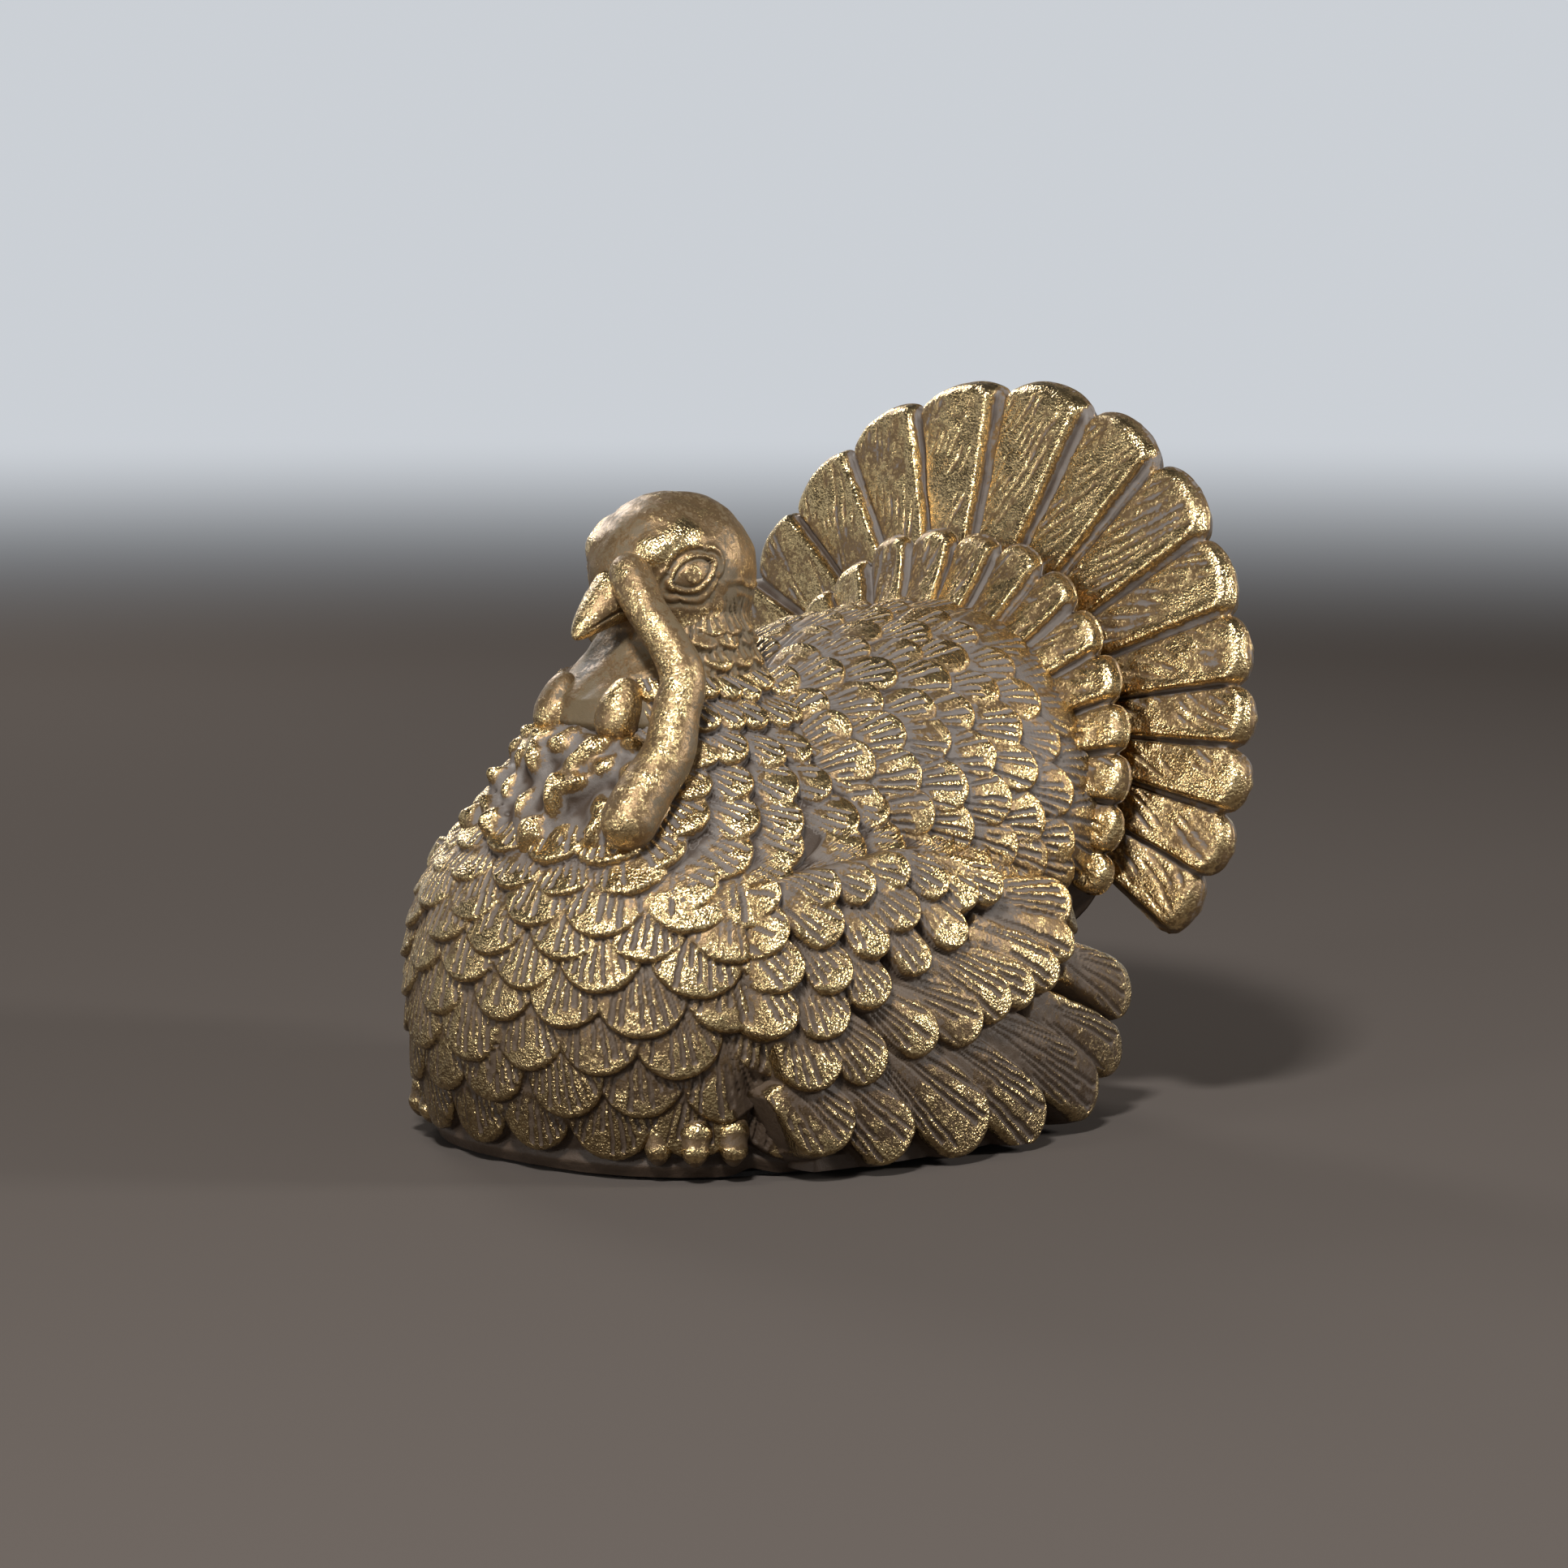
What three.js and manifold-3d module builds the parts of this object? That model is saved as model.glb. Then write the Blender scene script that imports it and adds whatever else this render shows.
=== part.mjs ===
// A sitting turkey table figure in cast resin: a body under rows of scalloped feathers, with the
// head, snood, wattles, wings, tail and feet let into it as castings of their own.
// Millimetres, +Z up. The bird faces -Y and the origin is on the table, under the middle of the body.
import * as THREE from "three";
import { mergeVertices } from "three/addons/utils/BufferGeometryUtils.js";
import Module from "manifold-3d";

const wasm = await Module();
wasm.setup();

// Fits between the castings
const glueGap = 0.35;
const socketEnd = 0.35;

// Feathers: points across each, and the share of a row's lift left between two tips
const perFeather = 4;
const valleyShare = 0.3;

// Felt sheet under the body
const feltThickness = 1.2;
const feltGlue = 0.3;
const feltInset = 2;

// Body: a superellipse ring at each height, from the foot to the neck joint
const bodyHeight = 90;
const breastReach = 71;
const rumpReach = 65;
const flankHalf = 51;
const bodyLift = 2.2;
const bodyScallop = 5;
const bodyFeathers = 24;
const neckScallop = 3.2;
const neckFeathers = 26;
const footSquareness = 2.6;
const roundShares = [0.5, 0.9];
const bodyShares = [
  // height, breast, rump and flank
  [0, 0.9, 0.9, 0.93],
  [0.05, 0.93, 0.95, 0.965],
  [0.18, 0.98, 0.99, 0.99],
  [0.31, 1, 1, 1],
  [0.45, 0.985, 0.99, 0.985],
  [0.56, 0.945, 0.93, 0.93],
  [0.65, 0.885, 0.8, 0.83],
  [0.74, 0.815, 0.48, 0.69],
  [0.83, 0.745, 0.22, 0.555],
  [0.92, 0.68, 0.04, 0.44],
  [1, 0.635, -0.06, 0.35],
];
const neckTopShare = 1;
const neckRowShares = [0.93, 0.865, 0.8, 0.735, 0.67, 0.61];
const neckFootShare = 0.54;
const breastRowShares = [0.56, 0.503, 0.44, 0.36, 0.272, 0.185, 0.1, 0.028];
const neckHeight = feltThickness + bodyHeight;

// Back: a flaring dome on a level axis, from inside the neck to the tail
const domeFront = -30;
const domeBack = 60;
const domeAxisHeight = feltThickness + 0.6 * bodyHeight;
const domeHalf = 46;
const domeRise = 44;
const domeDepth = 30;
const domeLift = 1.9;
const domeScallop = 3;
const domeFeathers = 28;
const domeShares = [
  // place along the axis, half width and rise
  [0, 0.3, 0.3],
  [0.15, 0.72, 0.68],
  [0.33, 0.9, 0.85],
  [0.5, 0.97, 0.93],
  [0.67, 1, 0.97],
  [0.83, 0.98, 0.99],
  [1, 0.93, 0.97],
];
const domeRows = 9;
const domeFirstShare = 0.05;
const domeRowShare = 0.104;

// Tail fan: feathers on a shallow cone that leans back from the end of the dome
const fanRadius = 72.2;
const fanStand = 6;
const fanRise = 17.8;
const fanLean = 10;
const fanThickness = 6.5;
const fanConeRise = 8;
const fanConePower = 1.2;
const fanHubShare = 0.37;
const fanGroove = 2;
const fanNotch = 3.2;
const fanSpigotRadius = 9;
const fanSpigotLength = 12;
const fanEdgeDegrees = [0, 19.5, 36.7, 53, 67, 79, 89.5, 100.5, 111.5, 123];
const fanCentre = { back: domeBack + fanStand, height: domeAxisHeight + fanRise };

// Tail coverts: the shorter row let into the end of the dome, in front of the fan
const covertReach = 6;
const covertRootShare = 0.72;
const covertSetback = 7;
const covertRise = 7.5;
const covertThickness = 5;
const covertGroove = 1.5;
const covertNotch = 2.4;
const covertEdgeDegrees = [0, 14, 28, 41.5, 54.5, 67, 79, 91, 102.5, 113];
const covertRadius = domeHalf + covertReach;
const covertCentre = { back: domeBack - covertSetback, height: domeAxisHeight + covertRise };

// Wings: rows of feathers that spread from the shoulder, let into the flank
const shoulderFront = -0.565 * breastReach;
const shoulderHeight = feltThickness + 0.565 * bodyHeight;
const wingReach = 99;
const wingStand = 9;
const wingSeat = 1.8;
const wingFall = 10;
const wingFallShares = [0.2, 0.67];
const wingCurve = 16;
const wingMiddle = 0.03 * breastReach;
const wingHalfLength = 0.46 * (breastReach + rumpReach);
const wingLift = 2;
const wingScallop = 5;
const wingScallopShare = 0.7;
const wingFeathers = 11;
const wingDegrees = [-24, 98];
const wingGroundGap = 0.4;
const wingReachShares = [
  // place in the sweep, reach
  [0, 0.14],
  [0.086, 0.26],
  [0.17, 0.49],
  [0.234, 0.785],
  [0.28, 0.92],
  [0.333, 0.99],
  [0.392, 1],
  [0.451, 0.98],
  [0.539, 0.77],
  [0.611, 0.667],
  [0.727, 0.566],
  [0.834, 0.525],
  [1, 0.515],
];
const wingRowShares = [0.2, 0.36, 0.5, 0.64];
const wingQuillShare = 0.78;
const wingGrooveShare = 0.8;

// Head, standing on the neck joint
const headFront = -0.325 * breastReach;
const headRise = 19.4;
const headHeight = neckHeight + headRise;
const headHalfWidth = 14.6;
const headHalfLength = 17.8;
const headHalfHeight = 15.2;
const headHalves = [headHalfWidth, headHalfLength, headHalfHeight];
const neckTopRadius = 13;
const neckFlare = 4;
const throatReach = 6;
const neckSpigotRadius = 6;
const neckSpigotLength = 9;
const eyeRadius = 4.6;
const eyeShares = [0.72, -0.45, 0.02];
const eyeDegrees = 62;
const lidRadius = 4.8;
const lidThickness = 1.2;
const lidStretch = [1.1, 0.85, 1];
const browRadius = 3.2;
const browLength = 7.5;
const browShares = [0.62, -0.52, 0.4];
const beakLength = 13;
const beakHalfWidth = 5.6;
const beakHalfHeight = 6.2;
const beakReach = 9.2;
const beakRootShare = -0.22;
const beakTipShare = -0.74;

// Snood: from the brow over the left of the beak, and down the breast
const snoodRootRadius = 4;
const snoodTipRadius = 5.6;
const snoodHeadShares = [
  // across, along and up, as shares of the head's half sizes
  [0.165, -0.82, 0.16],
  [0.34, -0.944, 0],
  [0.685, -1.045, -0.36],
  [1.055, -1.1, -0.79],
  [1.29, -1.11, -1.28],
];
const snoodBreastShares = [
  // height on the body, degrees round it over 100, and stand-off over the tip's radius
  [0.942, 0.46, 1.3],
  [0.875, 0.46, 1],
  [0.81, 0.395, 1],
  [0.745, 0.33, 1],
  [0.675, 0.28, 0.8],
];

// Wattles, caruncles and feet, all set on the body's own surface
const wattleRadius = 4.6;
const wattleLength = 13;
const wattleTurn = 24;
const wattleShare = 0.945;
const wattleDegrees = 19;
const wattleSplay = 10;
const lumpRadius = 4.6;
const lumpStretch = [1.15, 1, 0.95];
const lumpTilt = 30;
const bibTopShare = 0.86;
const bibRowShare = 0.058;
const bibRows = 4;
const bibDegrees = 38;
const bibMarginShare = 1;
const bibMarginDegrees = 6;
const bibSkin = 1.4;
const bibDepth = 5;
const toeRadius = 3.4;
const toeLength = 14;
const toeSpread = 6.2;
const toeRise = 2.6;
const toeTurn = 55;
const toeSplay = 16;
const footShare = 0.055;
const footDegrees = 41;
const footInset = 2.5;

// Finishes
const gold = { color: 0xa8843f, metalness: 0.75, roughness: 0.42 };
const brightGold = { color: 0xbd964a, metalness: 0.8, roughness: 0.36 };
const darkGold = { color: 0x7b6136, metalness: 0.6, roughness: 0.5 };
const felt = { color: 0x2c2a28, metalness: 0, roughness: 0.95 };

const figure = new THREE.Group();

function add(name, solid, finish) {
  const mesh = new THREE.Mesh(geometryOf(solid), new THREE.MeshStandardMaterial(finish));
  mesh.name = name;
  figure.add(mesh);
}

// Between geometry and solids

function solidOf(geometry) {
  const bare = geometry.clone();
  bare.deleteAttribute("normal");
  bare.deleteAttribute("uv");
  const merged = mergeVertices(bare, 1e-4);
  return new wasm.Manifold(
    new wasm.Mesh({
      numProp: 3,
      vertProperties: merged.attributes.position.array,
      triVerts: new Uint32Array(merged.index.array),
    }),
  );
}

function geometryOf(solid) {
  const { vertProperties, triVerts } = solid.getMesh();
  return new THREE.BufferGeometry()
    .setAttribute("position", new THREE.BufferAttribute(vertProperties, 3))
    .setIndex(new THREE.BufferAttribute(triVerts, 1));
}

function placed(geometry, { at = [0, 0, 0], turn = [0, 0, 0], stretch = [1, 1, 1] } = {}) {
  const radians = turn.map(THREE.MathUtils.degToRad);
  const matrix = new THREE.Matrix4().compose(
    new THREE.Vector3(...at),
    new THREE.Quaternion().setFromEuler(new THREE.Euler(...radians)),
    new THREE.Vector3(...stretch),
  );
  return solidOf(geometry.clone().applyMatrix4(matrix));
}

function joined(solids) {
  return solids.reduce((whole, next) => whole.add(next));
}

// A closed skin over loops of points, with a fan of triangles at each end
function skin(loops) {
  const count = loops[0].length;
  const points = loops.flat();
  const faces = [];
  for (let ring = 0; ring + 1 < loops.length; ring++) {
    for (let i = 0; i < count; i++) {
      const next = (i + 1) % count;
      const a = ring * count + i;
      const b = ring * count + next;
      const c = a + count;
      const d = b + count;
      faces.push(a, b, d, a, d, c);
    }
  }
  const ends = [loops[0], loops[loops.length - 1]];
  ends.forEach((loop, end) => {
    const middle = points.length;
    const sum = loop.reduce((total, p) => total.add(p), new THREE.Vector3());
    points.push(sum.divideScalar(count));
    const start = end * (loops.length - 1) * count;
    for (let i = 0; i < count; i++) {
      const next = (i + 1) % count;
      const pair = end ? [start + i, start + next] : [start + next, start + i];
      faces.push(middle, ...pair);
    }
  });
  const geometry = new THREE.BufferGeometry().setFromPoints(points).setIndex(faces);
  const solid = solidOf(geometry);
  if (solid.volume() > 0) return solid;
  return solidOf(geometry.setIndex(faces.reverse()));
}

// Smooth reading of a table of shares at x in its first column
function tableAt(table, column, x) {
  const last = table.length - 1;
  const clamped = Math.min(Math.max(x, table[0][0]), table[last][0]);
  const i = Math.min(table.findLastIndex((row) => row[0] <= clamped), last - 1);
  const value = (n) => table[Math.min(Math.max(n, 0), last)][column];
  const place = (n) => table[Math.min(Math.max(n, 0), last)][0];
  const slope = (n) => (value(n + 1) - value(n - 1)) / (place(n + 1) - place(n - 1));
  const span = place(i + 1) - place(i);
  const t = (clamped - place(i)) / span;
  const u = 1 - t;
  return (
    value(i) * u * u * (1 + 2 * t) +
    value(i + 1) * t * t * (3 - 2 * t) +
    slope(i) * span * t * u * u -
    slope(i + 1) * span * t * t * u
  );
}

function superCircle(angle, exponent) {
  const power = (value) => Math.sign(value) * Math.abs(value) ** (2 / exponent);
  return [power(Math.sin(angle)), power(Math.cos(angle))];
}

// Body surface: angle 0 is the breast, share 0 the foot and share 1 the neck joint
function bodyPoint(angle, share, lift) {
  const front = breastReach * tableAt(bodyShares, 1, share);
  const back = rumpReach * tableAt(bodyShares, 2, share);
  const half = flankHalf * tableAt(bodyShares, 3, share);
  const roundness = THREE.MathUtils.smoothstep(share, ...roundShares);
  const [across, along] = superCircle(angle, THREE.MathUtils.lerp(footSquareness, 2, roundness));
  const middle = (back - front) / 2;
  const length = (back + front) / 2;
  const x = half * across;
  const y = middle - length * along;
  const outward = new THREE.Vector2(x / half, (y - middle) / length).normalize();
  const z = feltThickness + bodyHeight * share;
  return new THREE.Vector3(x + outward.x * lift, y + outward.y * lift, z);
}

// Back surface: angle 0 is the ridge, share 0 the neck end and share 1 the tail end
function domePoint(angle, share, lift) {
  const half = domeHalf * tableAt(domeShares, 1, share) + lift;
  const rise = domeRise * tableAt(domeShares, 2, share) + lift;
  const tall = Math.cos(angle) > 0 ? rise : domeDepth;
  const y = THREE.MathUtils.lerp(domeFront, domeBack, share);
  return new THREE.Vector3(
    half * Math.sin(angle),
    y,
    domeAxisHeight + tall * Math.cos(angle),
  );
}

// Share of the lift across a feather, where round is 1 at its middle and 0 at its edges
function tipLift(round) {
  return THREE.MathUtils.lerp(valleyShare, 1, round);
}

// Loops for rows of scalloped feathers, between a plain lead-in loop and a plain end: each row
// ends in a raised round tip and a step down, and every second row is set half a feather over.
// angleAt gives the angle at a share of the way round the ring at a place.
function featherLoops(point, angleAt, [lead, ...rows], feathers, scallopShare, lift, end) {
  const columns = feathers * perFeather;
  const loop = (share, raise, scallop, row) =>
    Array.from({ length: columns }, (_, column) => {
      const turned = (column + (row % 2) * (perFeather / 2)) % perFeather;
      const across = (2 * turned) / perFeather - 1;
      const round = Math.sqrt(1 - across * across);
      const angle = angleAt(column / columns, share);
      const place = THREE.MathUtils.clamp(share + scallop * round, 0, 1);
      return point(angle, place, raise * tipLift(round));
    });
  const loops = [loop(lead, 0, 0, 0)];
  rows.forEach((share, row) => {
    loops.push(loop(share, lift, scallopShare, row));
    loops.push(loop(share, 0, scallopShare, row));
  });
  loops.push(loop(end, 0, 0, 0));
  return loops;
}

// The angle at which a share of the body's girth at a height has been travelled
function girthAngle(travelled, share) {
  const steps = 360;
  const angleOf = (step) => (step / steps) * 2 * Math.PI;
  const ring = Array.from({ length: steps + 1 }, (_, step) => bodyPoint(angleOf(step), share, 0));
  const sums = ring.slice(1).reduce((all, p, i) => [...all, all[i] + p.distanceTo(ring[i])], [0]);
  const target = travelled * sums[steps];
  const step = Math.min(sums.findLastIndex((sum) => sum <= target), steps - 1);
  return angleOf(step + (target - sums[step]) / (sums[step + 1] - sums[step]));
}

function bodyMass() {
  const part = (rows, feathers, scallop, end) =>
    skin(
      featherLoops(bodyPoint, girthAngle, rows, feathers, -scallop / bodyHeight, bodyLift, end),
    );
  const neck = [neckTopShare, ...neckRowShares];
  const breast = [neckRowShares.at(-1), ...breastRowShares];
  return part(neck, neckFeathers, neckScallop, neckFootShare).add(
    part(breast, bodyFeathers, bodyScallop, 0),
  );
}

function backMass() {
  const rows = Array.from({ length: domeRows }, (_, row) => domeFirstShare + domeRowShare * row);
  const evenly = (travelled) => 2 * Math.PI * travelled;
  const scallopShare = domeScallop / (domeBack - domeFront);
  return skin(
    featherLoops(domePoint, evenly, [0, ...rows], domeFeathers, scallopShare, domeLift, 1),
  );
}

// Fan frame: the fan's own plane, leaning back at its centre
function inFan(radius, degrees, forward, centre) {
  const lean = THREE.MathUtils.degToRad(fanLean);
  const angle = THREE.MathUtils.degToRad(degrees);
  const up = radius * Math.cos(angle);
  return new THREE.Vector3(
    radius * Math.sin(angle),
    centre.back - forward * Math.cos(lean) + up * Math.sin(lean),
    centre.height + up * Math.cos(lean) + forward * Math.sin(lean),
  );
}

// A sector of radial feathers. section gives the loop at an angle, where round runs from 0
// in the groove between two feathers to 1 on the middle of one. The socket for a sector is
// plain, without the grooves.
function featherSector(edges, section, plain) {
  const steps = plain ? perFeather / 2 : perFeather;
  const mirrored = [...edges.slice(1).reverse().map((edge) => -edge), ...edges];
  const loops = [];
  mirrored.slice(0, -1).forEach((edge, feather) => {
    const wide = mirrored[feather + 1] - edge;
    for (let i = 0; i < steps; i++) {
      const across = (2 * i) / steps - 1;
      loops.push(section(edge + (wide * i) / steps, plain ? 1 : Math.sqrt(1 - across * across)));
    }
  });
  loops.push(section(mirrored[mirrored.length - 1], plain ? 1 : 0));
  return skin(loops);
}

function fanFeathers(clearance) {
  const coneShares = [fanHubShare, 0.6, 0.8, 0.94];
  const coneAt = (radius) => fanConeRise * (1 - radius / fanRadius) ** fanConePower;
  const section = (degrees, round) => {
    const tip = fanRadius - fanNotch * (1 - round) + clearance;
    const sink = fanGroove * (1 - round);
    const half = fanThickness / 2;
    const front = coneShares.map((share) => {
      const radius = share * tip;
      return [radius, coneAt(radius) + half - sink + clearance];
    });
    const back = [coneShares[3], coneShares[1], coneShares[0]].map((share) => [
      share * tip,
      sink / 2 - half - clearance,
    ]);
    const rim = [
      [tip, half / 2 - sink / 2],
      [tip, sink / 2 - half / 2],
    ];
    return [...front, ...rim, ...back].map(([radius, forward]) =>
      inFan(radius, degrees, forward, fanCentre),
    );
  };
  return featherSector(fanEdgeDegrees, section, clearance > 0);
}

// A disc or pin on the fan's axis, reaching from one depth in front of its plane to another
function fanDisc(radius, from, to) {
  const disc = new THREE.CylinderGeometry(radius, radius, to - from, 28);
  disc.translate(0, -(from + to) / 2, 0);
  return placed(disc, { at: [0, fanCentre.back, fanCentre.height], turn: [-fanLean, 0, 0] });
}

function fanSolid(clearance) {
  const half = fanThickness / 2;
  const hubFront = half + fanConeRise * (1 - fanHubShare) ** fanConePower;
  const hubRadius = fanHubShare * fanRadius + fanGroove + clearance;
  const spigotEnd = hubFront + fanSpigotLength + clearance + (clearance && socketEnd);
  return joined([
    fanFeathers(clearance),
    fanDisc(hubRadius, -half - clearance, hubFront + clearance),
    fanDisc(fanSpigotRadius + clearance, 0, spigotEnd),
  ]);
}

function covertSolid(clearance) {
  const section = (degrees, round) => {
    const tip = covertRadius - covertNotch * (1 - round) + clearance;
    const sink = covertGroove * (1 - round) - clearance;
    const root = covertRootShare * domeHalf - clearance;
    const middle = (root + tip) / 2;
    const front = covertThickness / 2 - sink;
    const back = -covertThickness / 2 - clearance;
    const profile = [
      [root, front + covertThickness],
      [middle, front + covertThickness / 3],
      [0.93 * tip, front],
      [tip, 0],
      [tip - covertThickness / 4, back],
      [root, back],
    ];
    return profile.map(([radius, forward]) => inFan(radius, degrees, forward, covertCentre));
  };
  return featherSector(covertEdgeDegrees, section, clearance > 0);
}

// Wing surface at a place in the side view; lift stands it off, and side is 1 left or -1 right
function wingPoint(y, z, lift, side) {
  const [low, high] = wingFallShares.map((share) => share * bodyHeight);
  const rise = Math.max(0, (z - low) / (high - low));
  const along = (y - wingMiddle) / wingHalfLength;
  const x = flankHalf + wingStand - wingFall * rise * rise - wingCurve * along * along + lift;
  return new THREE.Vector3(side * x, y, z);
}

function wingSolid(side, clearance) {
  const columns = wingFeathers * perFeather;
  const floor = feltThickness + wingGroundGap - clearance;
  const face = clearance;
  const back = -wingStand - wingSeat - clearance;
  const roundAt = (column, row) => {
    const turned = (column + (row % 2) * (perFeather / 2)) % perFeather;
    return Math.sqrt(1 - ((2 * turned) / perFeather - 1) ** 2);
  };
  const loops = [];
  for (let column = 0; column <= columns; column++) {
    const sweep = column / columns;
    const angle = THREE.MathUtils.degToRad(THREE.MathUtils.lerp(...wingDegrees, sweep));
    const reach = wingReach * tableAt(wingReachShares, 1, sweep) + clearance;
    const place = (radius, lift) => {
      const y = shoulderFront + radius * Math.cos(angle);
      const z = Math.max(floor, shoulderHeight - radius * Math.sin(angle));
      return wingPoint(y, z, lift, side);
    };
    const outer = [place(wingScallop / 2, face)];
    wingRowShares.forEach((share, row) => {
      const round = roundAt(column, row);
      const radius = share * reach + wingScallopShare * wingScallop * round;
      const raise = wingLift * tipLift(round);
      outer.push(place(radius, raise + face), place(radius, face));
    });
    const edge = roundAt(column, wingRowShares.length);
    const tip = reach - wingScallop * (1 - edge);
    const crest = wingLift * (edge - wingGrooveShare * (1 - edge)) + face;
    outer.push(place(wingQuillShare * tip, crest), place(tip - wingScallop, crest));
    outer.push(place(tip, -wingStand / 3));
    const inner = [0.97, 0.6].map((share) => place(share * tip, back));
    loops.push([...outer, ...inner, place(wingScallop / 2, back)]);
  }
  return skin(loops);
}

// A place on or near the head, from shares of its half sizes
function onHead(shares, side = 1) {
  const [across, along, up] = shares.map((share, axis) => share * headHalves[axis]);
  return [side * across, headFront + along, headHeight + up];
}

function beakSolid() {
  const sides = 14;
  const bluntness = 0.97;
  const droop = 1.3;
  const shares = [0, 0.35, 0.65, 0.88, 1];
  const tipFront = headFront - headHalfLength - beakReach;
  const rootHeight = headHeight + beakRootShare * headHalfHeight;
  const tipHeight = headHeight + beakTipShare * headHalfHeight;
  const loops = shares.map((share) => {
    const slim = Math.sqrt(1 - bluntness * share * share);
    const y = THREE.MathUtils.lerp(tipFront + beakLength, tipFront, share);
    const z = THREE.MathUtils.lerp(rootHeight, tipHeight, share ** droop);
    return Array.from({ length: sides }, (_, i) => {
      const angle = (i / sides) * 2 * Math.PI;
      const x = beakHalfWidth * slim * Math.sin(angle);
      return new THREE.Vector3(x, y, z + beakHalfHeight * slim * Math.cos(angle));
    });
  });
  return skin(loops);
}

// Eye, with the ring of its lids and the ridge of the brow over it
function eyeParts(side) {
  return [
    placed(new THREE.SphereGeometry(eyeRadius, 12, 8), {
      at: onHead([eyeShares[0] - 0.1, eyeShares[1] + 0.05, eyeShares[2]], side),
    }),
    placed(new THREE.TorusGeometry(lidRadius, lidThickness, 6, 18), {
      at: onHead(eyeShares, side),
      turn: [0, side * eyeDegrees, 0],
      stretch: lidStretch,
    }),
    placed(new THREE.SphereGeometry(browRadius, 12, 8), {
      at: onHead(browShares, side),
      turn: [10, 0, side * (eyeDegrees - 90)],
      stretch: [1, browLength / browRadius, 1],
    }),
  ];
}

// Neck: oval loops that widen to the joint, fuller in front where the throat hangs
function neckSolid(clearance) {
  const bottom = neckHeight + glueGap - clearance;
  const top = headHeight - headHalfHeight / 2;
  const corners = 24;
  const loops = [0, 0.25, 0.5, 0.75, 1].map((share) => {
    const half = neckTopRadius + neckFlare * (1 - share) + clearance;
    const reach = half + throatReach * Math.cos((Math.PI / 2) * share);
    return Array.from({ length: corners }, (_, i) => {
      const angle = (i / corners) * 2 * Math.PI;
      const along = Math.cos(angle) * (Math.cos(angle) > 0 ? reach : half);
      const z = THREE.MathUtils.lerp(bottom, top, share);
      return new THREE.Vector3(half * Math.sin(angle), headFront - along, z);
    });
  });
  return skin(loops);
}

function headSolid() {
  const skull = placed(new THREE.SphereGeometry(1, 22, 14), {
    at: [0, headFront, headHeight],
    stretch: headHalves,
  });
  const neck = [neckSolid(0), neckSpigot(0)];
  return joined([skull, ...neck, beakSolid(), ...eyeParts(-1), ...eyeParts(1)]);
}

function neckSpigot(clearance) {
  const bottom = neckHeight - neckSpigotLength - clearance - (clearance && socketEnd);
  const length = neckHeight + neckFlare - bottom;
  const radius = neckSpigotRadius + clearance;
  return placed(new THREE.CylinderGeometry(radius, radius, length, 20), {
    at: [0, headFront, bottom + length / 2],
    turn: [90, 0, 0],
  });
}

// A place on the body at a height share and an angle in degrees, standing off its surface
function onBody(share, degrees, lift, side = 1) {
  const point = bodyPoint(THREE.MathUtils.degToRad(degrees), share, lift);
  return [side * point.x, point.y, point.z];
}

function snoodSolid(clearance) {
  const route = [
    ...snoodHeadShares.map((shares) => onHead(shares)),
    ...snoodBreastShares.map(([share, turn, off]) => onBody(share, 100 * turn, off * snoodTipRadius)),
  ];
  const curve = new THREE.CatmullRomCurve3(route.map((place) => new THREE.Vector3(...place)));
  const long = curve.getLength();
  const steps = 22;
  const sides = 12;
  const across = new THREE.Vector3(1, 0, 0);
  const loops = Array.from({ length: steps + 1 }, (_, step) => {
    const share = 0.5 - 0.5 * Math.cos((Math.PI * step) / steps);
    const centre = curve.getPointAt(share);
    const tangent = curve.getTangentAt(share);
    const full = THREE.MathUtils.lerp(snoodRootRadius, snoodTipRadius, Math.min(1, 1.6 * share));
    const fromEnd = long * Math.min(share, 1 - share) + full / 8;
    const round = Math.min(1, fromEnd / full);
    const radius = full * Math.sqrt(1 - (1 - round) ** 2) + clearance;
    const side = across.clone().addScaledVector(tangent, -across.dot(tangent)).normalize();
    const up = new THREE.Vector3().crossVectors(tangent, side);
    return Array.from({ length: sides }, (_, i) => {
      const angle = (i / sides) * 2 * Math.PI;
      return centre
        .clone()
        .addScaledVector(side, radius * Math.cos(angle))
        .addScaledVector(up, radius * Math.sin(angle));
    });
  });
  return skin(loops);
}

function wattleSolid(side, clearance) {
  const drop = new THREE.SphereGeometry(wattleRadius + clearance, 14, 10);
  return placed(drop, {
    at: onBody(wattleShare, wattleDegrees, 0, side),
    turn: [wattleTurn, 0, side * wattleSplay],
    stretch: [1, 0.9, wattleLength / (2 * wattleRadius)],
  });
}

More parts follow.
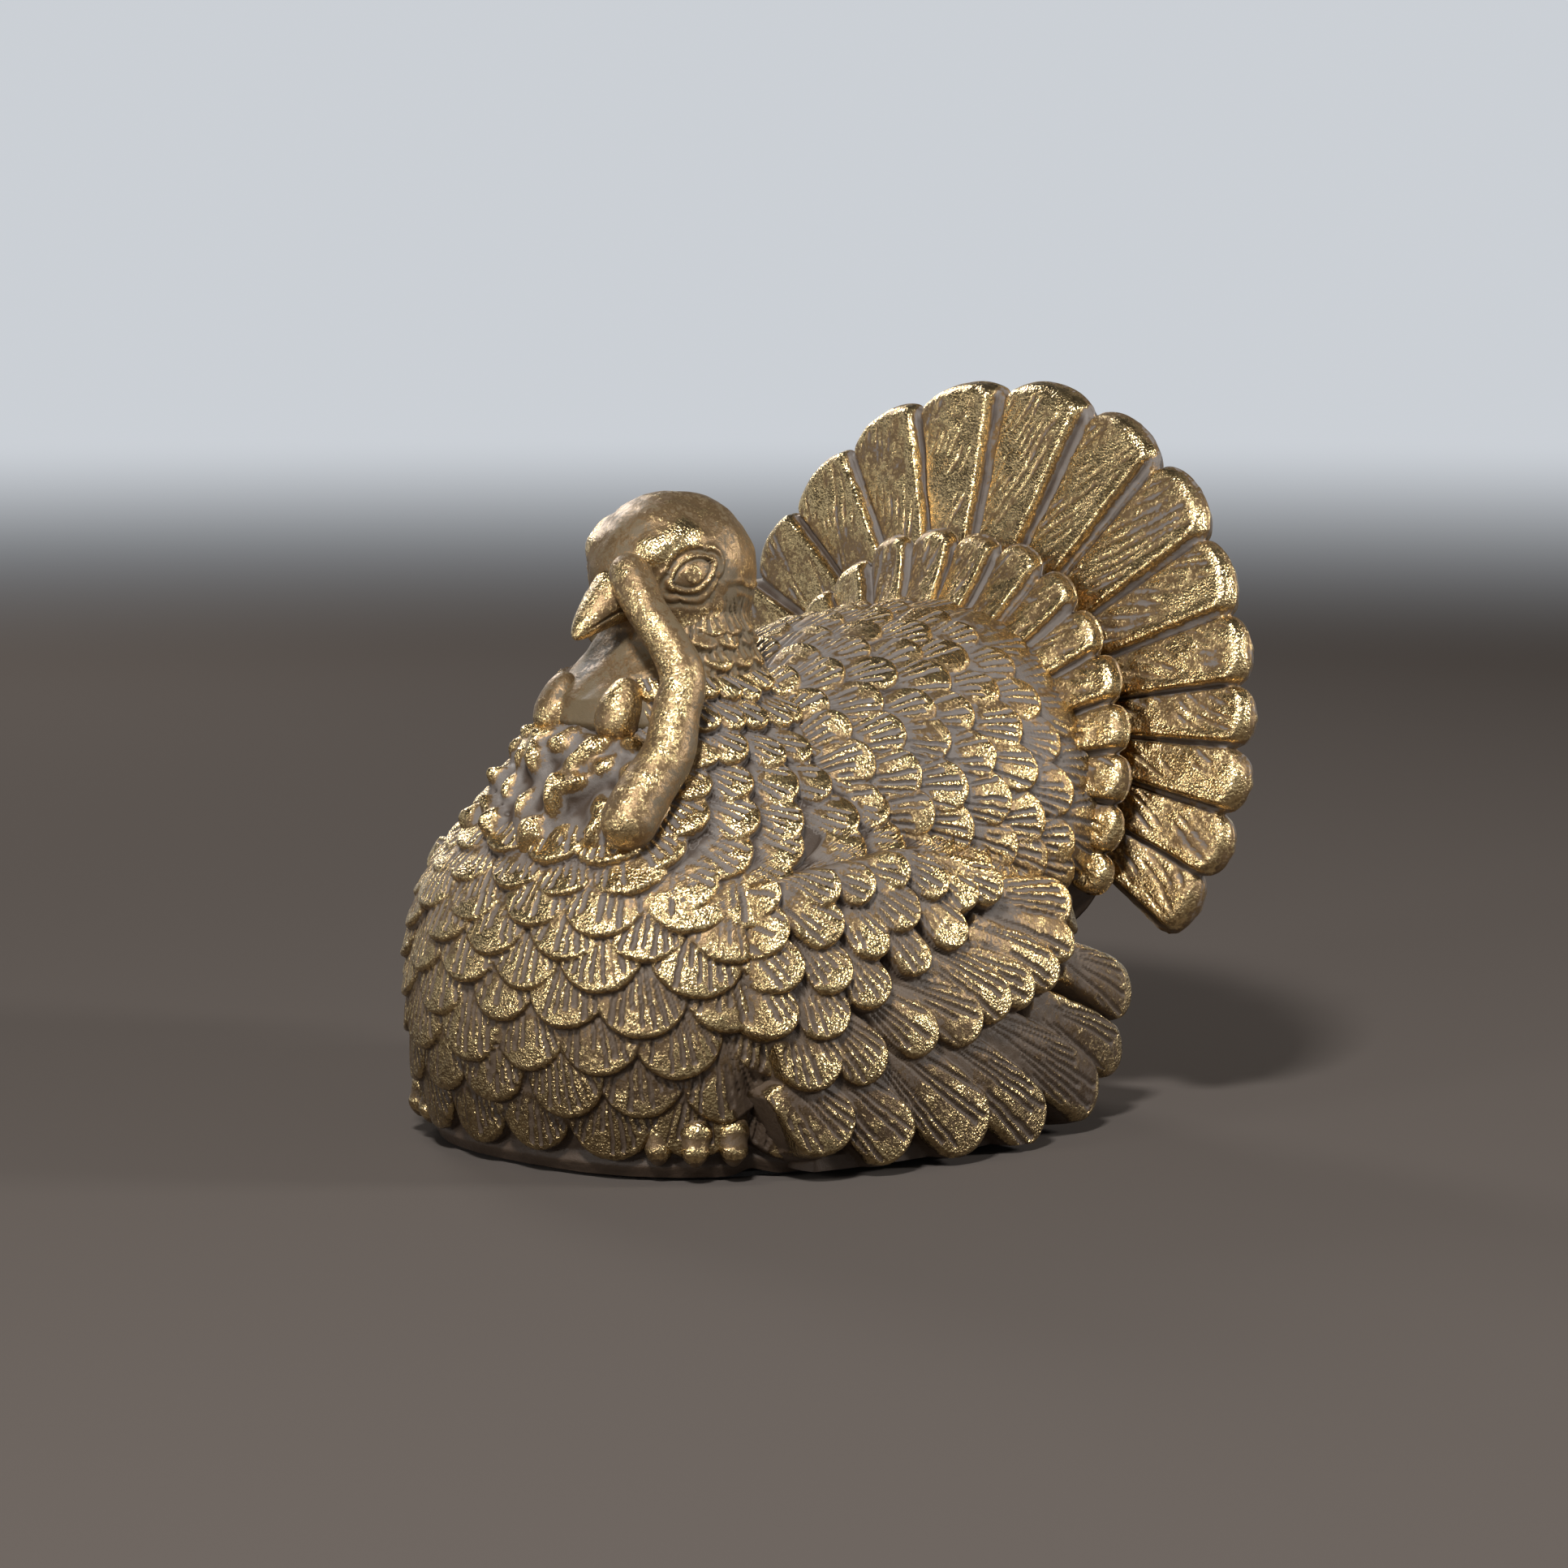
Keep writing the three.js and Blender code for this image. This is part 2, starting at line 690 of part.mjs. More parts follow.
// Caruncles: a bib of skin over the front of the neck, under overlapping lumps in rows
// that are set half a step apart
function bibSolid(clearance) {
  const bottomShare = bibTopShare - (bibRows - 1) * bibRowShare;
  const margin = bibMarginShare * bibRowShare;
  const edge = clearance / bodyHeight;
  const over = clearance && bodyLift + clearance;
  const wide = bibDegrees + bibMarginDegrees + 2 * THREE.MathUtils.radToDeg(clearance / flankHalf);
  const columns = 10;
  const skinLoops = Array.from({ length: columns + 1 }, (_, i) => {
    const across = (2 * i) / columns - 1;
    const drop = margin * (1 - across ** 4) + edge;
    const profile = [
      [bibTopShare + drop, over],
      [(bibTopShare + bottomShare) / 2, bibSkin + over],
      [bottomShare - drop, over],
      [bottomShare - drop, -bibDepth - clearance],
      [bibTopShare + drop, -bibDepth - clearance],
    ];
    return profile.map(([share, lift]) =>
      new THREE.Vector3(...onBody(share, wide * across, lift)),
    );
  });
  const parts = [skin(skinLoops)];

  for (let row = 0; row < bibRows; row++) {
    const count = row % 2 ? 4 : 3;
    for (let i = 0; i < count; i++) {
      const degrees = bibDegrees * ((2 * i) / (count - 1) - 1) * (count / 4);
      const size = lumpRadius * (0.85 + 0.15 * Math.cos(7 * i + 3 * row)) + clearance;
      const lump = new THREE.SphereGeometry(size, 8, 5);
      const at = onBody(bibTopShare - row * bibRowShare, degrees, 0);
      parts.push(placed(lump, { at, turn: [lumpTilt, 0, 0], stretch: lumpStretch }));
    }
  }
  return joined(parts);
}

// Foot: three toes side by side, with the claws turned down to the table
function footSolid(side, clearance) {
  const [x, y] = onBody(footShare, footDegrees, -footInset, side);
  const outward = THREE.MathUtils.degToRad(footDegrees);
  const toes = [-1, 0, 1].map((place) => {
    const shaft = toeLength - 2 * toeRadius;
    const toe = new THREE.CapsuleGeometry(toeRadius + clearance, shaft, 3, 9);
    const forward = place ? 0 : toeRadius / 2;
    return placed(toe, {
      at: [
        x + side * (place * toeSpread * Math.cos(outward) + forward * Math.sin(outward)),
        y + place * toeSpread * Math.sin(outward) - forward * Math.cos(outward),
        feltThickness + toeLength / 2 - toeRadius + toeRise,
      ],
      turn: [toeTurn, 0, side * (footDegrees + toeSplay * place)],
    });
  });
  return joined(toes).trimByPlane([0, 0, 1], feltThickness - clearance);
}

// Felt sheet, cut to the body's foot and a little inside it
function feltSolid() {
  const corners = 48;
  const outline = Array.from({ length: corners }, (_, i) => {
    const p = bodyPoint((i / corners) * 2 * Math.PI, 0, -feltInset);
    return new THREE.Vector2(p.x, p.y);
  });
  const depth = feltThickness - feltGlue;
  return placed(new THREE.ExtrudeGeometry(new THREE.Shape(outline), { depth, bevelEnabled: false }));
}

function cutBy(solid, cutters) {
  return cutters.reduce((rest, cutter) => rest.subtract(cutter), solid);
}

// The largest piece of a cut casting, without the crumbs of feather edges left over a socket
function withoutCrumbs(solid) {
  return solid.decompose().sort((a, b) => b.volume() - a.volume())[0];
}

// The castings, each cut back by one glue gap where another is let into it
const sides = [1, -1];
const fan = fanSolid(0);
const coverts = cutBy(covertSolid(0), [fanSolid(glueGap)]);
const wings = sides.map((side) => wingSolid(side, 0));
const snood = snoodSolid(0);
const snoodCut = snoodSolid(glueGap);
const wattles = sides.map((side) => cutBy(wattleSolid(side, 0), [snoodCut]));
const wattleCuts = sides.map((side) => wattleSolid(side, glueGap));
const head = cutBy(headSolid(), [snoodCut, ...wattleCuts]);
const bib = cutBy(bibSolid(0), [snoodCut, ...wattleCuts]);
const wingCuts = sides.map((side) => wingSolid(side, glueGap));
const feet = sides.map((side, i) => cutBy(footSolid(side, 0), [wingCuts[i]]));
const body = cutBy(bodyMass().add(backMass()), [
  fanSolid(glueGap),
  covertSolid(glueGap),
  neckSolid(glueGap),
  neckSpigot(glueGap),
  snoodCut,
  bibSolid(glueGap),
  ...wattleCuts,
  ...wingCuts,
  ...sides.map((side) => footSolid(side, glueGap)),
]);

add("body_casting", withoutCrumbs(body), gold);
add("tail_fan", fan, brightGold);
add("tail_coverts", coverts, gold);
add("head", head, gold);
add("snood", snood, brightGold);
add("caruncle_bib", bib, brightGold);
["left", "right"].forEach((name, i) => {
  add(`wing_${name}`, wings[i], gold);
  add(`wattle_${name}`, wattles[i], brightGold);
  add(`foot_${name}`, feet[i], darkGold);
});
add("base_felt", feltSolid(), felt);

export default figure;
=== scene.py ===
"""Gilded resin turkey figure: carved feather relief over the castings, with worn gold leaf.

Every carved piece is one surface worked out on a grid in millimetres. Where feathers lap,
the highest of them shows. Ridges, lumps, folds and grooves are added to that height.
"""

import math

import bpy
import numpy as np
from bpy.props import FloatProperty, FloatVectorProperty, PointerProperty
from bpy.types import Operator, Panel, PropertyGroup
from mathutils import Matrix, Vector


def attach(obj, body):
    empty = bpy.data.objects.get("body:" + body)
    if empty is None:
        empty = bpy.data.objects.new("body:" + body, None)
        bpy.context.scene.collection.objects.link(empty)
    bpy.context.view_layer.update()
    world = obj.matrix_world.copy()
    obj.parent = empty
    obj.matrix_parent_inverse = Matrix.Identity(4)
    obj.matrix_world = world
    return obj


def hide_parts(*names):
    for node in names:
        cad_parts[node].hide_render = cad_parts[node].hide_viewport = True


bl_info = {
    "name": "Gilded Turkey Figure",
    "version": (1, 0, 0),
    "blender": (4, 5, 0),
    "location": "View3D > Sidebar > Turkey",
    "description": "Builds a gilded resin turkey figure with carved feathers",
    "category": "Object",
}

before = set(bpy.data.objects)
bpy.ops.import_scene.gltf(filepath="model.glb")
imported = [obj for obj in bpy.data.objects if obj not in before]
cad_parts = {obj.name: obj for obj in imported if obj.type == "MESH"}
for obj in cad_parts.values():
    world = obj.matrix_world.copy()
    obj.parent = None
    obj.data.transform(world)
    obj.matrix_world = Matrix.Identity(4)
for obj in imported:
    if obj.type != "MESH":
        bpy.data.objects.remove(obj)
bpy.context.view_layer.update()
MM = 0.001

# Body outline: height share, then breast, rump and flank as shares of their reach
BODY_SHARES = np.array([
    [0, 0.9, 0.9, 0.93],
    [0.05, 0.93, 0.95, 0.965],
    [0.18, 0.98, 0.99, 0.99],
    [0.31, 1, 1, 1],
    [0.45, 0.985, 0.99, 0.985],
    [0.56, 0.945, 0.93, 0.93],
    [0.65, 0.885, 0.8, 0.83],
    [0.74, 0.815, 0.48, 0.69],
    [0.83, 0.745, 0.22, 0.555],
    [0.92, 0.68, 0.04, 0.44],
    [1, 0.635, -0.06, 0.35],
])

# Back outline: place along it, then half width and rise as shares
BACK_SHARES = np.array([
    [0, 0.3, 0.3],
    [0.15, 0.72, 0.68],
    [0.33, 0.9, 0.85],
    [0.5, 0.97, 0.93],
    [0.67, 1, 0.97],
    [0.83, 0.98, 0.99],
    [1, 0.93, 0.97],
])

FAN_EDGES = (0, 19.5, 36.7, 53, 67, 79, 89.5, 100.5, 111.5, 123)
COVERT_EDGES = (0, 14, 28, 41.5, 54.5, 67, 79, 91, 102.5, 113)

# Body rows from the neck down: feathers round the body, length in mm, the first row's number,
# and each row's height share at its tips. Every second row is set half a feather over.
NECK_ROWS = (26, 12, -1, (0.959, 0.894, 0.829, 0.764, 0.699, 0.634, 0.574))
BREAST_ROWS = (24, 18, 0, (0.504, 0.447, 0.384, 0.304, 0.216, 0.129, 0.044))
BACK_FEATHERS = 28
BACK_ROWS = tuple(0.083 + 0.104 * row for row in range(10))

# The bib's place on the breast: height share at its foot, and half its width in degrees
BIB_FOOT = 0.66
BIB_HALF_TURN = 38

# Columns laid past a seam, so that the normals of both halves agree there
SEAM_COLUMNS = 3

# Rows of feathers on the nape, by their tips' level on the head
NAPE_ROWS = (0.121, 0.181, 0.242, 0.3)

# Ridges and grooves on the left of the head, mirrored on its right: their middle, as shares
# of the skull's half sizes, their heading, half length, half width and height in mm, and leaf
HEAD_RIDGES = {
    "brow": ((0.68, -0.6, 0.42), (0, 1, 0.2), 8, 2.8, 1.3, 0.25),
    "eye corner": ((0.55, -0.78, 0.1), (0.2, 0.3, -1), 5, 1.4, -0.5, 0.0),
    "cheek": ((0.82, -0.3, -0.5), (0, 1, 0.2), 8, 3.2, 0.5, 0.1),
    "crease": ((0.7, -0.35, -0.8), (0, 1, 0.1), 8, 1.0, -0.6, -0.15),
}

# A toe's middle line: steps ahead of its start, and heights, in mm
TOE_ROUTE = ((-2.5, 15.0), (0.6, 12.6), (3.2, 9.0), (4.2, 6.0), (4.4, 3.2))

# Wing rows, from the long feathers up. Each feather is its tip's place along the wing and
# height in mm, its fall in degrees, length and half width.
WING_ROWS = (
    [
        [-34.5, 7.2, 52, 17, 6.3], [-21, 5, 46, 26, 6.3], [-3, 4.4, 40, 32, 7], [15, 3.8, 38, 36, 6.6],
        [36, 6.4, 33, 38, 6.2], [49, 12.5, 29, 34, 5.8], [54.5, 23.5, 26, 28, 5.6],
    ],
    [
        [-39, 18.5, 74, 16, 6.4], [-27, 19.5, 54, 16, 5.4], [-14, 23.5, 40, 18, 5.8],
        [-2, 25.5, 31, 24, 5.8], [5.5, 28, 34, 25, 5], [14, 30, 30, 26, 4.8],
        [22, 32, 27, 26, 4.8], [30, 37, 22, 26, 4.3], [32.5, 45, 15, 26, 4.6],
    ],
    [
        [-46, 28.5, 72, 14, 5.2], [-36, 27.8, 72, 14, 5.9], [-25.5, 32.5, 66, 14, 5.2],
        [-15, 37.5, 62, 15, 4.7], [-4.5, 41.5, 52, 15, 4.9],
    ],
    [
        [-43, 37, 62, 14, 6.2], [-33, 36.2, 60, 13, 5], [-24, 41.5, 60, 13, 4.6],
        [-14.5, 46.5, 48, 15, 5.6], [2, 48, 48, 14, 4.6],
    ],
    [[-43, 45, 48, 15, 6], [-32, 45.5, 46, 15, 5.6], [-5, 51.5, 40, 13, 4.4], [10, 50, 22, 16, 4.4]],
    [
        [-42, 52.3, 28, 13, 4.8], [-30.5, 52.8, 36, 12, 4.2], [-22, 52.8, 32, 12, 4.4],
        [-13, 55, 20, 12, 4.1],
    ],
)

# The long feathers at the wing's foot, and the shorter ones over them
WING_QUILL = {"tilt": 2.3, "shape": 0.75, "fall": 4.5, "worn": 0.42}
WING_COVERT = {"tilt": 2.1, "shape": 0.85, "fall": 3.6, "worn": 0.6}

# Wing outline seen from the side: place up it, front edge, rear edge; place along it, foot, top
WING_ENDS = np.array([
    [0, -43, 52],
    [0.25, -48, 59],
    [0.5, -51, 60],
    [0.75, -51, 58],
    [1, -47, 46],
])
WING_SIDES = np.array([
    [0, 1.7, 55],
    [0.25, 1.7, 58],
    [0.5, 1.7, 59.5],
    [0.75, 1.7, 55],
    [1, 6, 46],
])

# Gilded materials: paint, leaf cover, painted shade low down, grain, and how patchy the leaf is
GILDINGS = {
    "gilded_body": ("recess_colour", -0.02, 0.85, 1.0, 0.9),
    "gilded_fan": ("recess_colour", -0.04, 0.4, 0.8, 0.9),
    "gilded_head": ("under_colour", -0.03, 0.4, 0.9, 0.7),
}

# Colours of the stage
FLOOR_COLOUR = (0.10, 0.085, 0.075, 1)
SURROUND_COLOUR = (0.60, 0.63, 0.67, 1)
CEILING_COLOUR = (0.06, 0.06, 0.06, 1)

# Camera: its place, and the angles at which it stands round and over the figure
CAMERA_PLACE = (0.6752, -0.71555, 0.1911)
CAMERA_HEADING = math.radians(43)
CAMERA_RISE = math.radians(7.2)

# Lamps: steps to the camera's right, toward the camera and up, in metres, then watts and size
LAMP_TARGET = (0, 0, 0.065)
LAMPS = {
    "key_lamp": (-0.15, 0.75, 0.95, 14, 0.16),
    "fill_lamp": (-0.9, 0.8, 0.35, 3.5, 0.2),
    "rim_lamp": (1.0, 0.1, 0.45, 6.0, 0.2),
    "back_lamp": (-0.5, -1.0, 0.7, 6.0, 0.35),
}


def millimetres(value):
    """A length of the property group, in the millimetres that the surfaces are worked out in."""
    return value / MM


def sizes():
    """The figure's sizes, as set in the sidebar."""
    return bpy.context.scene.turkey_sizes


def gilding():
    """The figure's colours and gilding, as set in the sidebar."""
    return bpy.context.scene.turkey_finish


def length(name, description, default):
    """A length of the figure, in metres."""
    return FloatProperty(name=name, description=description, default=default, unit="LENGTH")


def colour(name, description, default):
    """A colour of the finish."""
    return FloatVectorProperty(
        name=name, description=description, default=default, subtype="COLOR", size=3, min=0, max=1
    )


class TurkeySizes(PropertyGroup):
    """Sizes of the figure."""

    body_height: length("Body height", "Foot to neck joint", 0.09)
    felt_thickness: length("Felt thickness", "Felt under the foot", 0.0012)
    breast_reach: length("Breast reach", "Middle to breast", 0.071)
    rump_reach: length("Rump reach", "Middle to rump", 0.065)
    flank_half: length("Flank", "Half the body's width", 0.051)
    back_front: length("Back start", "Neck end of the back", -0.03)
    back_end: length("Back end", "Tail end of the back", 0.06)
    back_half: length("Back half width", "Half the back's width", 0.046)
    back_rise: length("Back rise", "Ridge over the flank", 0.044)
    fan_radius: length("Fan radius", "Length of the tail fan", 0.0722)
    fan_lean: FloatProperty(
        name="Fan lean", description="Lean of the tail", default=math.radians(10), unit="ROTATION"
    )
    fan_thickness: length("Fan thickness", "Thickness at the tips", 0.0065)
    wing_stand: length("Wing stand-off", "Wing over the flank", 0.009)
    head_width: length("Head half width", "Across the head", 0.0146)
    head_length: length("Head half length", "Along the head", 0.0178)
    head_height: length("Head half height", "Up the head", 0.0152)
    head_rise: length("Head rise", "Head over the neck joint", 0.0194)
    snood_radius: length("Snood radius", "At its hanging end", 0.0056)
    feather_step: length("Feather step", "Height of a feather's tip", 0.0019)
    barb_depth: length("Barb depth", "Depth of carved barbs", 0.00042)
    carving_step: length("Carving step", "Size of one grid cell", 0.00038)


class TurkeyFinish(PropertyGroup):
    """Colours and wear of the gilding."""

    leaf_colour: colour("Gold leaf", "Bright leaf", (0.88, 0.65, 0.32))
    bronze_colour: colour("Worn gold", "Thin, rubbed leaf", (0.22, 0.14, 0.068))
    recess_colour: colour("Recess paint", "Paint left in hollows", (0.152, 0.128, 0.11))
    under_colour: colour("Head undercoat", "Paint under the head's leaf", (0.125, 0.088, 0.044))
    # Painted shade: the dark colour laid into gaps, recesses and low down
    painted_shade_colour: colour("Painted Shade", "Dark stain in gaps and low down", (0.045, 0.026, 0.014))
    felt_colour: colour("Felt", "Felt under the foot", (0.025, 0.023, 0.021))
    cover: FloatProperty(
        name="Leaf cover", description="More leaf over the hollows", default=0.0, min=-1, max=1
    )


def smooth(low, high, values):
    """Rises from 0 at low to 1 at high, level at both ends."""
    share = np.clip((values - low) / (high - low), 0, 1)
    return share * share * (3 - 2 * share)


def table_at(table, places):
    """Smooth curves through a table's rows: each span is a cubic with the slope at a row
    taken from the rows on either side. The first column is the place, the rest are returned."""
    table = np.asarray(table, float)
    last = len(table) - 1
    clamped = np.clip(places, table[0, 0], table[last, 0])
    low = np.clip(np.searchsorted(table[:, 0], clamped, side="right") - 1, 0, last - 1)
    span = table[low + 1, 0] - table[low, 0]
    part = ((clamped - table[low, 0]) / span)[..., None]
    before, after = np.maximum(np.arange(last + 1) - 1, 0), np.minimum(np.arange(last + 1) + 1, last)
    slopes = (table[after, 1:] - table[before, 1:]) / (table[after, :1] - table[before, :1])
    rest = 1 - part
    wide = span[..., None]
    return (
        table[low, 1:] * rest * rest * (1 + 2 * part)
        + table[low + 1, 1:] * part * part * (3 - 2 * part)
        + slopes[low] * wide * part * rest * rest
        - slopes[low + 1] * wide * part * part * rest
    )


def noise(points, size, seed):
    """Smooth noise from -1 to 1: random values on a lattice with cells of this size, in mm,
    blended between the eight corners of the cell around each point."""
    rng = np.random.default_rng(seed)
    order = rng.permutation(256)
    values = rng.uniform(-1, 1, 256)
    scaled = points / size
    cell = np.floor(scaled).astype(int)
    part = scaled - cell
    part = part * part * (3 - 2 * part)
    total = 0
    for corner in np.ndindex(2, 2, 2):
        place = (cell + corner) & 255
        pick = order[(order[(order[place[..., 0]] + place[..., 1]) & 255] + place[..., 2]) & 255]
        weight = np.prod(np.where(corner, part, 1 - part), axis=-1)
        total = total + values[pick] * weight
    return total


def unit(vectors):
    """The vectors scaled to length 1."""
    return vectors / np.maximum(np.linalg.norm(vectors, axis=-1, keepdims=True), 1e-9)


def normals_of(points, inside):
    """Normals of a grid of points, across its rows and columns, turned away from inside."""
    normals = unit(np.cross(np.gradient(points, axis=0), np.gradient(points, axis=1)))
    away = np.sum(normals * (points - np.asarray(inside, float)), axis=-1)
    return normals * (1 if away.mean() > 0 else -1)


def blurred(field, cells):
    """The field averaged twice over a window of this many cells each way, edges repeated."""
    for _ in range(2):
        for axis in (0, 1):
            reach = max(1, int(cells[axis]))
            pad = [(0, 0), (0, 0)]
            pad[axis] = (reach + 1, reach)
            total = np.cumsum(np.pad(field, pad, mode="edge"), axis=axis)
            long = total.shape[axis]
            high = np.take(total, range(2 * reach + 1, long), axis=axis)
            low = np.take(total, range(0, long - 2 * reach - 1), axis=axis)
            field = (high - low) / (2 * reach + 1)
    return field


class Relief:
    """A grid of surface points, and the height and leaf of what is carved on it."""

    def __init__(self, points, inside, ground, seed):
        self.points = points
        self.normals = normals_of(points, inside)
        self.height = np.array(np.broadcast_to(ground, points.shape[:2]), float)
        # Bare ground starts with leaf so low that the gilding paints shade on it
        self.leaf = np.full(points.shape[:2], -0.7)
        self.inside = inside
        self.steps = [
            np.linalg.norm(np.gradient(points, axis=axis), axis=-1) + 1e-6 for axis in (0, 1)
        ]
        self.warp = np.stack([noise(points, 3.1, seed), noise(points, 3.1, seed + 1)], -1)
        self.rough = noise(points, 1.3, seed + 2)

    def window(self, place, reach):
        """The block of the grid within reach of a place."""
        coarse = self.points[::3, ::3]
        near = np.argmin(np.sum((coarse - place) ** 2, -1))
        at = [3 * k for k in np.unravel_index(near, coarse.shape[:2])]
        block = []
        for axis in (0, 1):
            cells = int(reach / self.steps[axis][tuple(at)]) + 4
            block.append(slice(max(0, at[axis] - cells), at[axis] + cells + 1))
        return tuple(block)

    def local(self, place, toward, reach, wobble=0.16):
        """A window, with how far its points lie across and along from a place."""
        block = self.window(place, reach)
        points = self.points[block]
        near = np.argmin(np.sum((points - place) ** 2, -1))
        normal = self.normals[block].reshape(-1, 3)[near]
        heading = unit(toward - normal * np.dot(toward, normal))
        sideways = np.cross(normal, heading)
        offset = points - place
        across = offset @ sideways + wobble * self.warp[block][..., 0]
        along = offset @ heading + wobble * self.warp[block][..., 1]
        return block, across, along

    def lay(self, block, height, leaf):
        """Keeps the height where it is the largest so far, with its leaf."""
        over = height > self.height[block]
        self.height[block] = np.where(over, height, self.height[block])
        self.leaf[block] = np.where(over, leaf, self.leaf[block])

    def finished(self, roughness=0.07):
        """The carved points with their normals, and how proud and how gilded each is."""
        height = self.height + roughness * self.rough
        cell = [np.median(step) for step in self.steps]
        fine = blurred(height, [0.9 / c for c in cell])
        wide = blurred(height, [2.6 / c for c in cell])
        proud = 0.5 * (height - fine) + 0.75 * (height - wide)
        points = self.points + self.normals * height[..., None]
        return points, normals_of(points, self.inside), proud, self.leaf


def feather(
    relief, tip, toward, half, long, rng, tilt=None, lean=6, shape=0.95, fall=3.2, worn=0.6
):
    """Lays one feather. Its outline is a round tip on a shaft that narrows to the root; its
    height rises evenly to the tip, is crowned across and rounded at the edge, and falls
    steeply outside. Barbs are grooves that fan out from a point behind the root: the waves of
    a cosine over the angle there, each wave with its own width and ends. Leaf wears off in the
    cuts, toward the root and past the edge."""
    tilt = millimetres(sizes().feather_step) if tilt is None else tilt
    barb = millimetres(sizes().barb_depth)
    half = half * (1 + 0.08 * rng.uniform(-1, 1))
    long = long * (1 + 0.06 * rng.uniform(-1, 1))
    turn = math.radians(lean) * rng.uniform(-1, 1)
    lift = 0.3 * rng.uniform(-1, 1)
    tone = rng.uniform(-0.1, 0.1)
    ends = rng.uniform(0, 1, (2, 64))
    phase = rng.uniform(0, 1)
    place = np.asarray(tip, float)
    block, across, along = relief.local(place, toward, max(long, half) + 4)
    sine, cosine = math.sin(turn), math.cos(turn)
    across, along = across * cosine - along * sine, along * cosine + across * sine
    nose = shape * half
    wide = half * (1 - 0.22 * smooth(0.3, 1, -along / long))
    round_in = 1 - np.hypot(across / half, (along + nose) / nose)
    inside = np.where(along > -nose, round_in * min(half, nose), wide - np.abs(across))
    slope = tilt / (0.62 * long)
    height = tilt + lift + slope * np.minimum(along, 0) + 0.6 * (1 - (across / half) ** 2)
    height -= 2.5 * np.maximum(0, -along - long)
    height -= 0.6 * (1 - np.clip(inside / 0.9, 0, 1)) ** 2 + fall * np.maximum(0, -inside)
    ragged = relief.rough[block]
    count = across / (along + 1.1 * long + nose) * (long + nose) / 2.1 + phase + 0.1 * ragged
    index = np.round(count).astype(int) & 63
    width, reach = ends[:, index]
    groove = smooth(0.85 - 0.55 * width, 1.0 - 0.35 * width, 0.5 + 0.5 * np.cos(2 * np.pi * count))
    groove = groove * smooth(0.12, 0.3, width)
    stop = -(0.05 + 0.26 * reach**2) * long + 0.5 * ragged
    start = -(0.5 + 0.6 * ends[1][index - 1]) * long
    cut = groove * (1 - smooth(stop - 0.9, stop, along)) * smooth(start, start + 1.2, along)
    cut = cut * smooth(0.3, 1.0, inside)
    height -= barb * cut
    worn = worn + tone - 0.85 * cut - 0.3 * smooth(-0.35 * long, -0.9 * long, along)
    worn -= 0.5 * (1 - smooth(-0.7, 0.2, inside))
    relief.lay(block, height, worn)


def body_surface(angle, share):
    """Body: at each height share an oval whose breast, rump and flank reach are read from a
    table, squarish at the foot and round at the neck. Angle 0 is the breast."""
    size = sizes()
    breast, rump, flank = np.moveaxis(table_at(BODY_SHARES, share), -1, 0)
    front = millimetres(size.breast_reach) * breast
    back = millimetres(size.rump_reach) * rump
    half = millimetres(size.flank_half) * flank
    power = 2 / (2.6 - 0.6 * smooth(0.5, 0.9, share))
    across = np.sign(np.sin(angle)) * np.abs(np.sin(angle)) ** power
    along = np.sign(np.cos(angle)) * np.abs(np.cos(angle)) ** power
    up = millimetres(size.felt_thickness) + millimetres(size.body_height) * share
    return np.stack([half * across, (back - front) / 2 - (back + front) / 2 * along, up], -1)


def back_surface(angle, share):
    """Back: half ovals across the figure, with half width and rise read from a table along
    it. Angle 0 is the ridge, and share 1 the tail end."""
    size = sizes()
    wide, tall = np.moveaxis(table_at(BACK_SHARES, share), -1, 0)
    half = millimetres(size.back_half) * wide
    rise = np.where(np.cos(angle) > 0, millimetres(size.back_rise) * tall, 30)
    start, end = millimetres(size.back_front), millimetres(size.back_end)
    level = back_axis_height()
    return np.stack(
        [half * np.sin(angle), start + (end - start) * share + 0 * angle, level + rise * np.cos(angle)],
        -1,
    )


def back_axis_height():
    """Height of the middle of the back's ovals."""
    return millimetres(sizes().felt_thickness) + 0.6 * millimetres(sizes().body_height)


def wing_surface(along, up, side):
    """Wing: a plate standing off the flank, whose face falls away with the square of the
    height over its lower part and of the distance from its middle."""
    size = sizes()
    rise = np.maximum(0, (up - 18) / 42.3)
    away = (along - 2.1) / 62.6
    stand = millimetres(size.flank_half) + millimetres(size.wing_stand)
    return np.stack([side * (stand - 10 * rise**2 - 16 * away**2), along, up], -1)


def fan_surface(radius, angle, forward, centre):
    """A place in the fan: a distance from its centre, an angle from upright, and how far in
    front of its plane, which leans back about the centre."""
    lean = sizes().fan_lean
    up = radius * np.cos(angle)
    return np.stack([
        radius * np.sin(angle) + 0 * forward,
        centre[0] - forward * math.cos(lean) + up * math.sin(lean),
        centre[1] + up * math.cos(lean) + forward * math.sin(lean),
    ], -1)


def grid_faces(rows, columns):
    """Quads of a grid whose points are numbered row by row."""
    first = (np.arange(rows - 1)[:, None] * columns + np.arange(columns - 1)).ravel()
    return np.stack([first, first + 1, first + columns + 1, first + columns], 1)


def outline_of(rows, columns):
    """The grid's outer points in order, once round."""
    number = np.arange(rows * columns).reshape(rows, columns)
    return np.concatenate(
        [number[0, :-1], number[:-1, -1], number[-1, :0:-1], number[:0:-1, 0]]
    )


